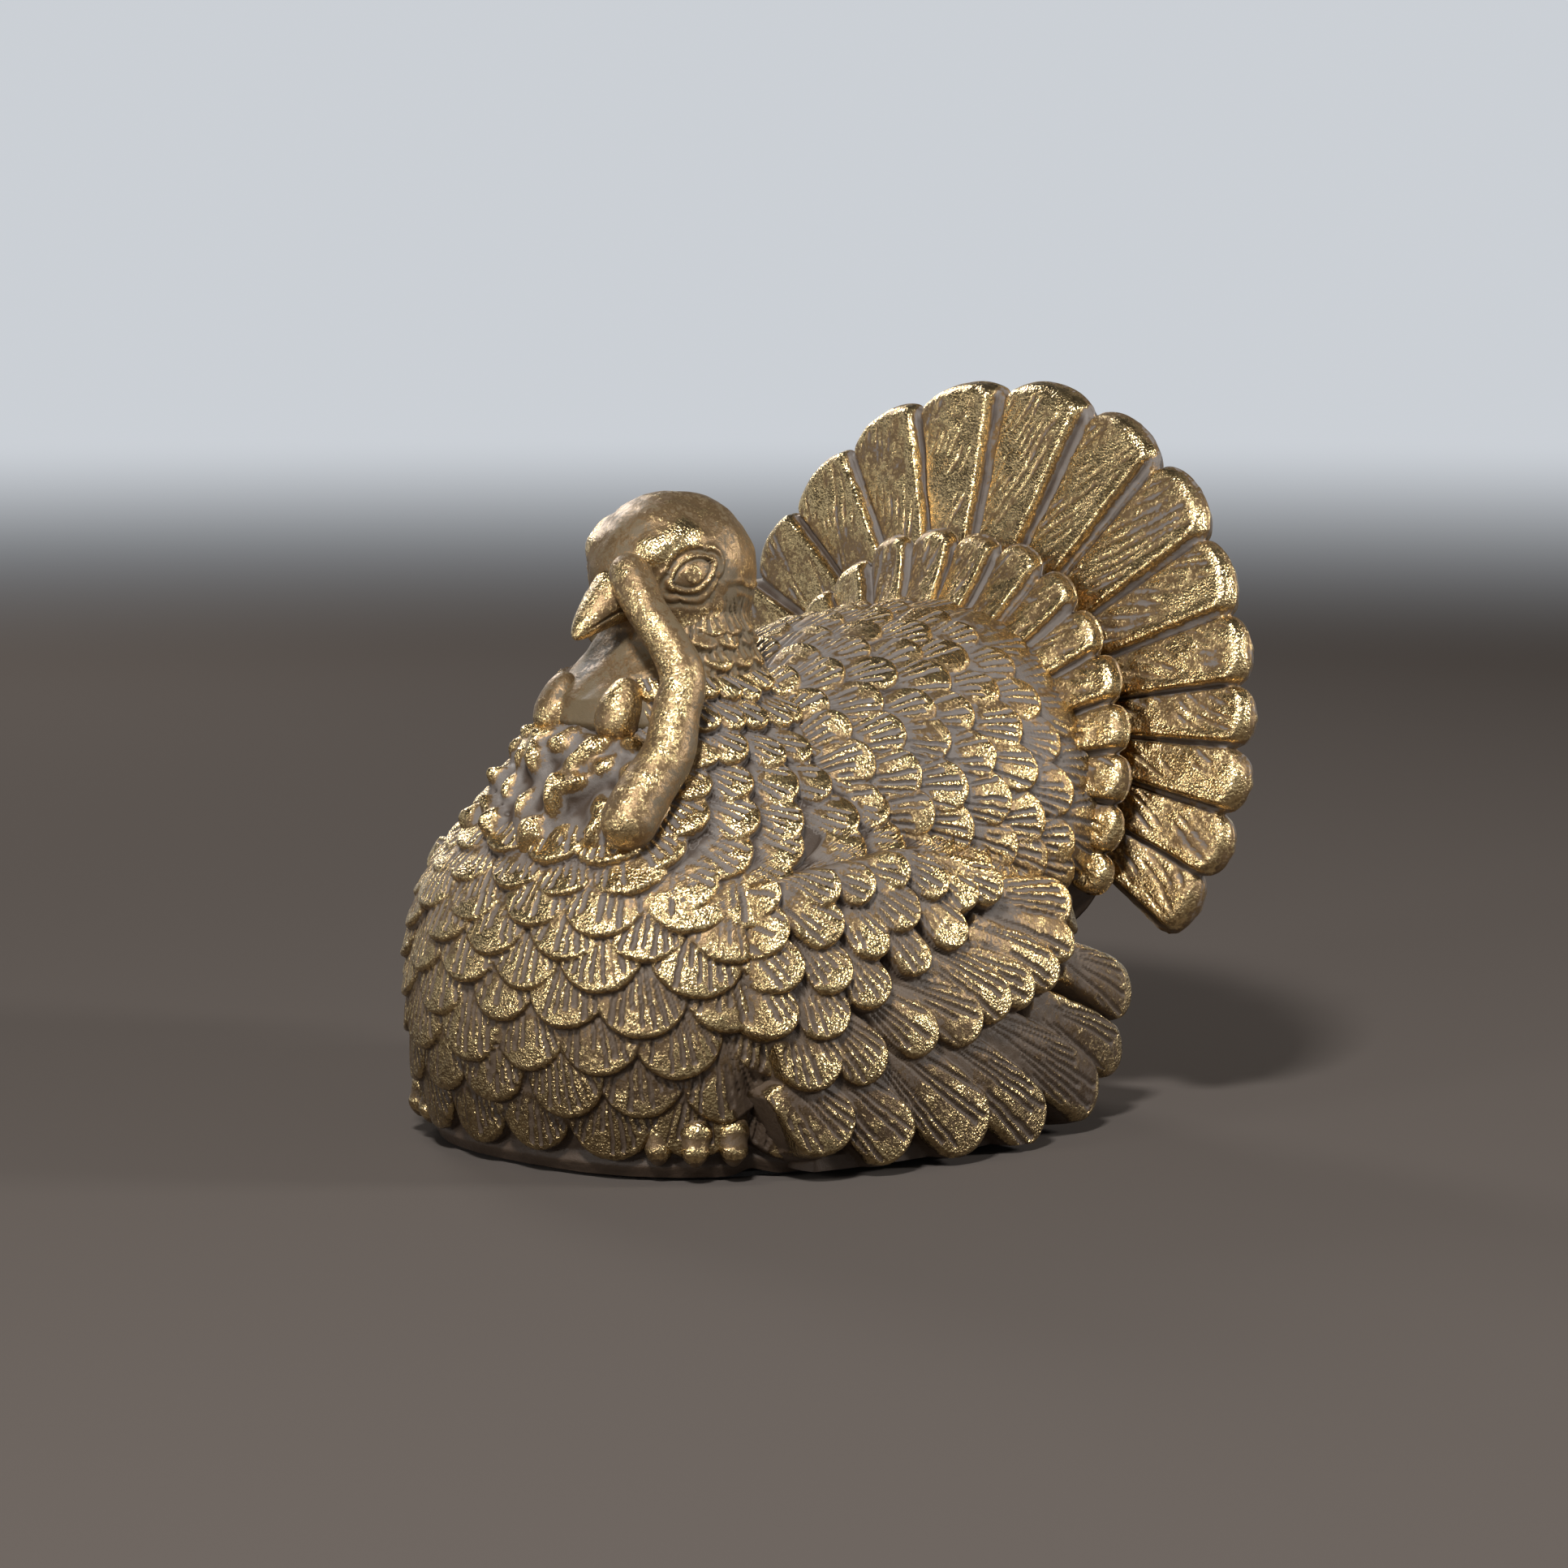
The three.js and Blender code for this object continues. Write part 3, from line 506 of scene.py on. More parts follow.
def closed_patch(points, back, centre):
    """Closes a patch: a band from its outline to the outline moved by back, then a fan of
    triangles to a centre. Returns all points, the quads and the triangles."""
    rows, columns = points.shape[:2]
    flat = points.reshape(-1, 3)
    edge = outline_of(rows, columns)
    ring = flat[edge] + back
    first = len(flat)
    here = np.arange(len(edge))
    after = np.roll(here, -1)
    band = np.stack([edge[after], edge[here], first + here, first + after], 1)
    fan = np.stack([first + after, first + here, np.full(len(edge), first + len(edge))], 1)
    return (
        np.concatenate([flat, ring, [centre]]),
        np.concatenate([grid_faces(rows, columns), band]),
        fan,
    )


def closed_tube(loops):
    """Closes a tube of loops with a fan at each end, to the middle of the end loop."""
    rows, columns = loops.shape[:2]
    flat = loops.reshape(-1, 3)
    here = np.arange(columns)
    after = np.roll(here, -1)
    rise = np.arange(rows - 1)[:, None] * columns
    quads = np.stack([rise + here, rise + after, rise + after + columns, rise + here + columns], -1)
    first, last = len(flat), len(flat) + 1
    top = (rows - 1) * columns
    fans = np.concatenate([
        np.stack([after, here, np.full(columns, first)], 1),
        np.stack([top + here, top + after, np.full(columns, last)], 1),
    ])
    ends = [loops[0].mean(0), loops[-1].mean(0)]
    return np.concatenate([flat, ends]), quads.reshape(-1, 4), fans


def volume_of(points, faces):
    """Signed volume of a closed mesh: positive when its faces point outwards."""
    total = 0
    for k in range(1, faces.shape[1] - 1):
        a, b, c = points[faces[:, 0]], points[faces[:, k]], points[faces[:, k + 1]]
        total += np.sum(a * np.cross(b, c))
    return total


def add_piece(name, shape, nodes, material, proud, leaf, normals=None):
    """Puts a closed surface, worked out in millimetres, into a mesh object that rides on the
    figure and stands for its casting. Extra points of a cap get plain values."""
    points, quads, triangles = shape
    if volume_of(points, quads) + volume_of(points, triangles) < 0:
        quads, triangles = quads[:, ::-1], triangles[:, ::-1]
    mesh = bpy.data.meshes.new(name)
    mesh.vertices.add(len(points))
    mesh.vertices.foreach_set("co", (points * MM).astype(np.float32).ravel())
    corners = np.concatenate([quads.ravel(), triangles.ravel()])
    mesh.loops.add(len(corners))
    mesh.loops.foreach_set("vertex_index", corners.astype(np.int32))
    starts = np.concatenate([
        4 * np.arange(len(quads)), 4 * len(quads) + 3 * np.arange(len(triangles))
    ])
    mesh.polygons.add(len(starts))
    mesh.polygons.foreach_set("loop_start", starts.astype(np.int32))
    mesh.update(calc_edges=True)
    mesh.validate()
    mesh.shade_smooth()
    for label, values, plain in (("proud", proud, 0.0), ("leaf", leaf, 0.4)):
        filled = np.full(len(points), plain, np.float32)
        filled[: values.size] = values.ravel()
        mesh.attributes.new(label, "FLOAT", "POINT").data.foreach_set("value", filled)
    if normals is not None:
        full = np.zeros((len(points), 3))
        full[: normals.size // 3] = normals.reshape(-1, 3)
        a, b, c, d = [points[quads[:, k]] for k in range(4)]
        facing = np.sum(np.cross(c - a, d - b) * full[quads[:, 0]])
        full *= 1 if facing > 0 else -1
        mesh.normals_split_custom_set_from_vertices(full.tolist())
    mesh.materials.append(material)
    piece = bpy.data.objects.new(name, mesh)
    bpy.context.scene.collection.objects.link(piece)
    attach(piece, "root")
    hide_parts(*nodes)


def add_relief(name, relief, back, centre, nodes, material, crop=0):
    """Adds a carved patch as a closed piece, leaving out its first columns, which are there
    only so that the normals run on past a seam."""
    points, normals, proud, leaf = [part[:, crop:] for part in relief.finished()]
    shape = closed_patch(points, np.asarray(back, float), np.asarray(centre, float))
    add_piece(name, shape, nodes, material, proud, leaf, normals)


def breast_sweep(share):
    """How far round the breast pieces reach at a height: to under the wings low down, and
    to the nape above them."""
    return np.radians(68 + 50 * smooth(0.5, 0.72, share))


def girth_angle(travelled, share):
    """The angle at which a share of the body's girth at a height has been travelled from the
    breast, and the girth in mm."""
    angles = np.linspace(-np.pi, np.pi, 1441)
    ring = body_surface(angles, share + 0 * angles)
    legs = np.linalg.norm(np.diff(ring, axis=0), axis=1)
    sums = np.concatenate([[0], np.cumsum(legs)])
    wrapped = (travelled + 0.5) % 1
    return np.interp(wrapped * sums[-1], sums, angles), sums[-1]


def body_place(degrees, share):
    """One place on the body, by its angle from the breast in degrees and its height share."""
    return body_surface(np.array(math.radians(degrees)), np.array(share))


def body_feathers(relief, low, high):
    """Lays the body's rows from the foot up, on what lies between two angles, leaving the
    bib's place bare. Feathers on the sides of the neck lean to the tail."""
    low, high = low - 0.15, high + 0.15
    rows = [
        (count, long, share, row)
        for count, long, first, shares in (BREAST_ROWS, NECK_ROWS)
        for row, share in reversed(list(enumerate(shares, first)))
    ]
    for number, (count, long, share, row) in enumerate(rows):
        for k in range(count):
            rng = np.random.default_rng([11, number, k])
            travelled = (k + 0.5 * (1 - row % 2) + 0.1 * rng.uniform(-1, 1)) / count
            height = np.array(share + rng.uniform(-0.008, 0.008))
            angle, girth = girth_angle(travelled, height)
            on_bib = share > BIB_FOOT and abs(angle) < math.radians(BIB_HALF_TURN)
            if on_bib or not (low < angle < high or low < angle % (2 * np.pi) < high):
                continue
            tip = body_surface(angle, height)
            lean = 0.0432 * smooth(0.5, 0.6, share) * smooth(0.3, 0.8, abs(angle))
            toward = body_surface(angle + math.copysign(lean, angle), height - 0.02) - tip
            feather(relief, tip, toward, 0.54 * girth / count, long, rng)


def foot_rim(share):
    """Height of the bare ground between feathers: a low rolled rim at the foot."""
    return -0.5 + 1.6 * (1 - smooth(0.022, 0.042, share))


def side_name(name, side):
    """The name of a piece on one side: left is +1, right is -1."""
    return f"{name}_left" if side > 0 else f"{name}_right"


def seam_places(columns):
    """Places across a half, from 0 at its seam to 1, with a few below 0 past the seam."""
    return ((np.arange(columns + SEAM_COLUMNS) - SEAM_COLUMNS) / (columns - 1))[None, :]


def make_breast(side, material):
    """Half of the breast, from the middle round under the wing: the body's surface with rows
    of feathers over a plain foot. Low down in front of the wing a cleft is cut and darkened
    with painted shade: a bell across its angle round the body, that fades out with height."""
    cell = millimetres(sizes().carving_step)
    rows, columns = int(108 / cell), int(76 / cell)
    share = np.linspace(0, 1, rows)[:, None]
    sweep = seam_places(columns)
    angle = breast_sweep(share) * sweep
    points = body_surface(side * angle, share + 0 * sweep)
    relief = Relief(points, (0, 0, 45), foot_rim(share), 5)
    body_feathers(relief, *sorted((0, side * breast_sweep(np.array(0.9)))))
    cleft_angle, cleft_half = 54, 3.6
    bell = np.exp(-(((np.degrees(np.abs(angle)) - cleft_angle) / cleft_half) ** 2))
    cleft = bell * smooth(24, 16, points[..., 2])
    relief.height -= 2.2 * cleft
    # Lowering the leaf this far paints shade into the cleft
    relief.leaf -= 1.3 * cleft
    add_relief(
        side_name("breast", side), relief, (0, 0, 0), (0, 0, 45), ["body_casting"],
        material, SEAM_COLUMNS,
    )


def make_rump(material):
    """The rump, between the breast pieces: the body's surface with rows of larger feathers."""
    rows, columns = 190, 420
    share = np.linspace(0, 0.8, rows)[:, None]
    sweep = np.linspace(0, 1, columns)[None, :]
    start = breast_sweep(share) - 0.03
    points = body_surface(start + (2 * np.pi - 2 * start) * sweep, share + 0 * sweep)
    relief = Relief(points, (0, 0, 40), foot_rim(share), 9)
    body_feathers(relief, start.min(), 2 * np.pi - start.min())
    add_relief("rump", relief, (0, 0, 0), (0, 0, 40), ["body_casting"], material)


def make_back(side, material):
    """Half of the back, from the ridge down to inside the wing, and farther round at its tail
    end: half ovals with rows of feathers that point to the tail and droop down the sides,
    closed by loops that shrink under the fan."""
    cell = millimetres(sizes().carving_step)
    rows, columns, end_rows = int(96 / cell), int(96 / cell), 24
    share = np.concatenate([np.linspace(0, 1, rows) ** 1.12, np.ones(end_rows)])[:, None]
    shrink = np.concatenate([np.ones(rows), np.linspace(0.985, 0.6, end_rows)])[:, None, None]
    angle = side * np.radians(100 + 45 * smooth(0.6, 0.95, share)) * seam_places(columns)
    points = back_surface(angle + 0 * share, share + 0 * angle)
    middle = np.array([0, 0, back_axis_height()])
    points = np.where([True, False, True], middle + (points - middle) * shrink, points)
    relief = Relief(points, (0, 20, 50), -0.45, 21)
    step = 2 * math.pi / BACK_FEATHERS
    for row, place in enumerate(BACK_ROWS):
        for k in range(-12, 13):
            rng = np.random.default_rng([13, row, k + 50])
            turn = np.array(step * (k + 0.5 * (1 - row % 2) + 0.1 * rng.uniform(-1, 1)))
            at_end = place > 0.9
            if abs(turn) > math.radians(108 if at_end else 140):
                continue
            along = np.array(place + rng.uniform(-0.01, 0.01))
            tip = back_surface(turn, along)
            toward = back_surface(turn, along + 0.02) - tip + [0, 0, -0.45 * abs(math.sin(turn))]
            half = 0.54 * step * millimetres(sizes().back_half) * table_at(BACK_SHARES, along)[0]
            feather(relief, tip, toward, half, 16, rng, tilt=1.5, lean=9, worn=0.52)
    add_relief(
        side_name("back", side), relief, (0, 0, 0), (0, 20, 50), ["body_casting"],
        material, SEAM_COLUMNS,
    )


def flank_at(along, up):
    """Half width of the body at a place along it and a height, from its oval turned round."""
    size = sizes()
    share = (up - millimetres(size.felt_thickness)) / millimetres(size.body_height)
    breast, rump, flank = np.moveaxis(table_at(BODY_SHARES, share), -1, 0)
    front, back = millimetres(size.breast_reach) * breast, millimetres(size.rump_reach) * rump
    power = 2.6 - 0.6 * smooth(0.5, 0.9, share)
    lengthwise = np.clip(np.abs((back - front) / 2 - along) / ((back + front) / 2), 0, 1)
    return millimetres(size.flank_half) * flank * (1 - lengthwise**power) ** (1 / power)


def make_wing(side, material):
    """A wing: rows of feathers over a face that falls away to its ends. Where no feather
    lies, the surface sinks into the flank, so that the tips make the wing's own outline. Its
    front edge sinks over the last 8 mm, but not at the foot."""
    cell = millimetres(sizes().carving_step)
    rows, columns = int(56 / cell), int(108 / cell)
    climb = np.linspace(0, 1, rows)[:, None]
    run = np.linspace(0, 1, columns)[None, :]
    ends, edges = table_at(WING_ENDS, climb), table_at(WING_SIDES, run)
    along = ends[..., 0] * (1 - run) + ends[..., 1] * run
    up = edges[..., 0] * (1 - climb) + edges[..., 1] * climb
    points = wing_surface(along, up, side)
    over = np.abs(points[..., 0]) - flank_at(along, up)
    past_ends = np.maximum(smooth(22, 34, along), smooth(-38, -44, along))
    deepest = 2.6 + 13 * np.maximum(smooth(4.5, 8, up), past_ends)
    relief = Relief(points, (0, 0, 30), -np.clip(over + 1.8, 1.5, deepest), 31 + side)
    for row, feathers in enumerate(WING_ROWS):
        for k, place in enumerate(feathers):
            rng = np.random.default_rng([14, row, k, 1 + side])
            y, z, fall, long, half = np.array(place) + rng.uniform(-1, 1, 5) * (0.4, 0.3, 2, 0.5, 0.15)
            tip = wing_surface(y, z, side)
            fall = math.radians(fall)
            toward = wing_surface(y + 0.5 * math.cos(fall), z - 0.5 * math.sin(fall), side) - tip
            form = WING_QUILL if row == 0 else WING_COVERT
            feather(relief, tip, toward, half, long, rng, lean=3, **form)
    front = smooth(0, 8, along - ends[..., 0])
    relief.height -= 4.5 * (1 - front) ** 2 * smooth(14, 24, up)
    name = side_name("wing", side)
    back = (-side * 4, 0, 0)
    add_relief(f"{name}_feathers", relief, back, (side * 24, 0, 30), [name], material)


def proud_of(height, cells):
    """How far each point stands over its surroundings, near and farther away."""
    fine = blurred(height, cells)
    wide = blurred(height, [3 * c for c in cells])
    return 0.9 * (height - fine) + 0.45 * (height - wide)


def wrapped_normals(loops):
    """Normals of a tube whose loops close on themselves."""
    wide = np.concatenate([loops[:, -2:], loops, loops[:, :2]], axis=1)
    return normals_of(wide, (0, 0, 0))[:, 2:-2]


def vane_relief(radius, place, arc, seed, feather_of, step):
    """One radial feather across its width: a vane that rises to a ridge near its clockwise
    edge, then a step down to a narrow strip, with slanting barbs cut into the vane."""
    rng = np.random.default_rng(seed)
    ridge_at = (0.87 + 0.05 * rng.uniform(-1, 1, 64))[feather_of]
    phase = rng.uniform(0, 1, 64)[feather_of]
    slant = (0.30 + 0.12 * rng.uniform(-1, 1, 64))[feather_of]
    level = (0.25 * rng.uniform(-1, 1, 64))[feather_of]
    vane = -0.5 + level + 0.8 * np.sin(0.5 * np.pi * np.clip(place / ridge_at, 0, 1)) ** 0.8
    drop = smooth(ridge_at + 0.01, ridge_at + 0.07, place)
    lip = smooth(0.0, 0.05, place)
    height = step * ((vane * (1 - drop) - 0.6 * drop) + 0.3 * (lip - 1))
    bead = np.exp(-(((place - ridge_at + 0.03) * arc / 1.2) ** 2))
    height = height + 0.3 * bead
    across = (place - ridge_at) * arc
    flat = np.stack([across, radius * 0.25, 9.0 * feather_of + 0 * radius], -1)
    ragged = noise(flat, 2.6, seed + 7)
    count = (across * np.cos(slant) - (radius - 40) * np.sin(slant)) / 2.3 + phase + 0.45 * ragged
    groove = (0.5 + 0.5 * np.cos(2 * np.pi * count)) ** 3.2
    groove = groove * smooth(-0.45, 0.35, noise(flat * [1, 3, 1], 3.4, seed + 8))
    worn = 0.62 - 0.3 * drop + 0.2 * bead
    return height, groove * smooth(0.8, 1.8, -across) * smooth(0.03, 0.12, place), worn


def make_fan_ring(
    name, edges, centre, counts, nodes, material, seed,
    *, reach, root, thick, cone, power, notch, step,
):
    """A ring of radial feathers on a shallow cone. Each column is a loop: the carved face from
    the root to a round tip, the thick rim, and the back with a shaft on each feather and
    barbs that slant from it. The tips' outline falls with a power of the distance from the
    feather's middle, to a notch between two. The cone rises toward the axis with a power
    of the distance from the rim. step is how high the vanes stand."""
    columns, front_rows, back_rows = counts
    marks = np.array([-edge for edge in edges[:0:-1]] + list(edges), float)
    degrees = np.linspace(marks[0], marks[-1], columns)
    which = np.clip(np.searchsorted(marks, degrees, side="right") - 1, 0, len(marks) - 2)
    wide = (marks[which + 1] - marks[which])[:, None]
    place = (degrees[:, None] - marks[which][:, None]) / wide
    which = which[:, None]
    angle = np.radians(degrees)[:, None]
    rng = np.random.default_rng(seed)
    length = 0.9 * rng.uniform(-1, 1, 64)[which] - 0.4
    off = np.abs(2 * place - 1)
    crease = np.exp(-(np.minimum(place, 1 - place) * np.radians(wide) * reach / 0.8) ** 2)
    tip = reach + length * (1 - off**4) - notch * off**2.5 - 0.8 * crease
    half = thick / 2
    cone_from_axis = power < 1.3

    def face(rows, outward):
        way = np.linspace(0, 1, rows)[None, :] ** 0.92
        radius = root + (tip - root) * way
        flat = np.stack([radius * np.sin(angle), radius * np.cos(angle), 0 * radius], -1)
        arc = np.radians(wide) * radius
        inset = tip - radius
        round_off = 2.3 * (1 - np.sqrt(1 - (1 - np.clip(inset / 2.6, 0, 1)) ** 2))
        if outward:
            height, cut, worn = vane_relief(radius, place, arc, seed + 1, which, step)
            uneven = noise(flat, 2.2, seed + 2)
            cut = cut * smooth(1.4, 3.4, inset + 0.8 * uneven) * (0.6 + 0.4 * uneven)
            height = height * smooth(0, 5, inset + 2) - 0.45 * cut + 0.14 * uneven
            height += 0.25 * noise(flat, 7, seed + 3)
            worn = worn - 0.4 * cut + 0.16 * noise(flat, 9, seed + 4)
            out = radius / reach if cone_from_axis else way
            base = cone * np.maximum(0, 1 - out) ** power
            return radius, base + half + height - round_off, height - 0.3 * round_off, worn
        shaft = np.exp(-(((place - 0.5) * arc / 0.8) ** 2))
        spread = np.abs(place - 0.5) * arc
        cut = (0.5 + 0.5 * np.cos(2 * np.pi * (spread * 0.9 + radius * 0.45) / 2.1)) ** 2
        cut = cut * smooth(0.7, 1.6, spread) * smooth(0.8, 2, (1 - off) * arc / 2)
        height = 0.5 * shaft - 1.2 * off**4 - 0.4 * cut * smooth(1, 3, inset)
        height = height + 0.12 * noise(flat, 2.2, seed + 5)
        return radius, -(half + height - round_off), height - 0.3 * round_off, 0.5 - 0.4 * cut

    front, behind = face(front_rows, True), [part[:, ::-1] for part in face(back_rows, False)]
    share = np.linspace(0, 1, 7)[None, 1:-1]
    bulge = 0.5 * np.sin(np.pi * share)
    rim = (
        front[0][:, -1:] + bulge,
        front[1][:, -1:] * (1 - share) + behind[1][:, :1] * share,
        front[2][:, -1:] * (1 - share) + behind[2][:, :1] * share,
        0.5 + 0 * bulge + 0 * place,
    )
    radius, forward, height, worn = [
        np.concatenate([a, b + 0 * place, c], axis=1) for a, b, c in zip(front, rim, behind)
    ]
    loops = fan_surface(radius, angle, forward, centre)
    proud = proud_of(height, (2, 2))
    normals = wrapped_normals(loops)
    add_piece(name, closed_tube(loops), nodes, material, proud, worn, normals)


def fan_centre():
    """Distance back and height of the fan's centre."""
    return millimetres(sizes().back_end) + 6, back_axis_height() + 17.8


def covert_centre():
    """Distance back and height of the centre of the short feathers in front of the fan."""
    return millimetres(sizes().back_end) - 7, back_axis_height() + 7.5


def make_fan(material):
    """The tail fan, with its short coverts in front and a feathered hub behind."""
    size = sizes()
    reach, thick = millimetres(size.fan_radius), millimetres(size.fan_thickness)
    make_fan_ring(
        "tail_fan_feathers", FAN_EDGES, fan_centre(), (640, 112, 34), ["tail_fan"],
        material, 41,
        reach=reach - 0.1, root=0.37 * reach, thick=thick, cone=8, power=1.2, notch=3.2, step=1.9,
    )
    half_back = millimetres(size.back_half)
    make_fan_ring(
        "tail_covert_feathers", COVERT_EDGES, covert_centre(), (560, 52, 10),
        ["tail_coverts"], material, 47,
        reach=half_back + 6, root=0.72 * half_back, thick=5, cone=5, power=1.5, notch=2.6, step=1.7,
    )
    make_hub(material)


def fan_place(radius, angle, forward):
    """One place in the tail fan."""
    place = [np.array(float(value)) for value in (radius, angle, forward)]
    return fan_surface(*place, fan_centre())


def make_hub(material):
    """The back of the fan's middle: a low round boss, higher toward its middle with the square
    of the distance, with three rings of short feathers that point outwards."""
    half = millimetres(sizes().fan_thickness) / 2
    across = np.linspace(-31, 31, 170)
    x, z = across[None, :] + 0 * across[:, None], across[:, None] + 0 * across[None, :]
    radius, angle = np.hypot(x, z), np.arctan2(x, z)
    boss = 2.2 * np.clip(1 - (radius / 28) ** 2, 0, 1)
    forward = -half - 0.5 - boss + 0.9 * np.maximum(0, radius - 28)
    points = fan_surface(radius, angle, forward, fan_centre())
    relief = Relief(points, (0, 60, 73), -0.6 - 2.2 * np.maximum(0, radius - 28.5), 51)
    for ring, (far, count) in enumerate(((28.2, 17), (20.5, 13), (12.5, 8))):
        for k in range(count):
            rng = np.random.default_rng([15, ring, k])
            turn = 2 * math.pi * (k + 0.5 * (ring % 2)) / count
            tip, past = [fan_place(r, turn, -half - 0.5) for r in (far, far + 0.5)]
            feather(relief, tip, past - tip, 1.15 * math.pi * far / count, 11, rng, tilt=1.5)
    add_relief(
        "tail_hub", relief, (0, -3, 0), fan_place(0, 0, 6), ["tail_fan"], material
    )


def head_centre():
    """The middle of the skull."""
    size = sizes()
    up = size.felt_thickness + size.body_height + size.head_rise
    return np.array([0, -0.325 * millimetres(size.breast_reach), millimetres(up)])


def head_halves():
    """Half sizes of the skull, across, along and up."""
    size = sizes()
    halves = size.head_width, size.head_length, size.head_height
    return np.array([millimetres(value) for value in halves])


def head_surface(turn, level):
    """Skull and neck: an upright oval joined smoothly to a round neck, which flares downward
    and swells out in front as the throat. Turn 0 faces forward; level runs from 0 at the foot
    of the neck to 1 at the crown."""
    across, along, tall = head_halves()
    centre = head_centre()
    foot = -centre[2] + 80
    low = 0.26
    tilt = np.radians(-62 + 152 * np.clip((level - low) / (1 - low), 0, 1))
    up = np.where(level < low, foot + (tall * math.sin(math.radians(-62)) - foot) * level / low,
                  tall * np.sin(tilt))
    flat = np.sqrt(np.maximum(0, 1 - (up / tall) ** 2))
    skull = flat / np.sqrt((np.sin(turn) / across) ** 2 + (np.cos(turn) / along) ** 2)
    drop = np.maximum(0, -7 - up)
    ahead = np.maximum(0, np.cos(turn)) ** 1.6
    throat = 7.4 * np.clip(drop / 16, 0, 1) ** 1.9 * ahead
    neck = 12.2 + 0.36 * drop + throat - 4 * smooth(19, 23.6, drop) ** 2
    gate = smooth(2, -9, up)
    neck = neck * gate
    radius = (skull + neck + np.sqrt((skull - neck) ** 2 + 2.5 * gate)) / 2
    radius = np.where(level > 0.999, 0, radius)
    return np.stack([
        radius * np.sin(turn), centre[1] - radius * np.cos(turn), centre[2] + up + 0 * turn
    ], -1)


def carve_eye(relief, side):
    """Raises an eyeball in an almond opening, with a lid round it and a second fold outside
    that, both stronger over the eye. The lids are bells across the distance from the
    opening's edge, past; the eyeball is a shallow dome with a low round pupil."""
    place = head_centre() + head_halves() * [side * 0.9, -0.43, 0.03]
    block, across, along = relief.local(place, np.array([0, 1, 0.42]), 14, 0.12)
    rise = side * across
    opening = 2.3 * np.maximum(0, 1 - (np.abs(along) / 4.9) ** 2)
    past = np.abs(across) - opening
    past = np.where(np.abs(along) > 4.4, np.maximum(past, np.hypot(np.abs(along) - 4.4, across)), past)
    ball = 1.5 * np.sqrt(np.maximum(0, 1 - (along**2 + across**2) / 4.6**2)) - 0.75
    ball += 0.22 * (1 - smooth(1.5, 1.85, np.hypot(along + 0.2, across)))
    lid = 0.6 * np.exp(-(((past - 0.8) / 0.8) ** 2)) - 0.22 * np.exp(-(((past - 2.0) / 0.5) ** 2))
    over = smooth(-0.5, 1.5, rise)
    lid += (0.28 + 0.15 * over) * np.exp(-(((past - 2.9) / 0.7) ** 2))
    lid -= 0.25 * (1 - over) * np.exp(-(((past - 3.9) / 0.5) ** 2))
    shade = np.where(past < 0.1, ball, lid)
    edge = 0.22 * np.exp(-((past / 0.32) ** 2))
    reach = 1 - smooth(6, 9, np.hypot(along / 1.15, across))
    relief.height[block] += (shade - edge - 0.35 * np.exp(-(np.hypot(along, across) / 6) ** 4)) * reach
    relief.leaf[block] += 0.08 * np.exp(-(((past - 0.7) / 0.5) ** 2)) - 0.3 * edge


def carve_ridge(relief, place, toward, long, half, tall, leaf):
    """Adds one soft ridge or groove: a bell across it that fades at both ends."""
    reach = long + 3 * half
    block, across, along = relief.local(place, toward, reach, 0.15)
    bell = np.exp(-((across / half) ** 2)) * (1 - smooth(0.55 * long, long, np.abs(along)))
    relief.height[block] += tall * bell
    relief.leaf[block] += leaf * bell


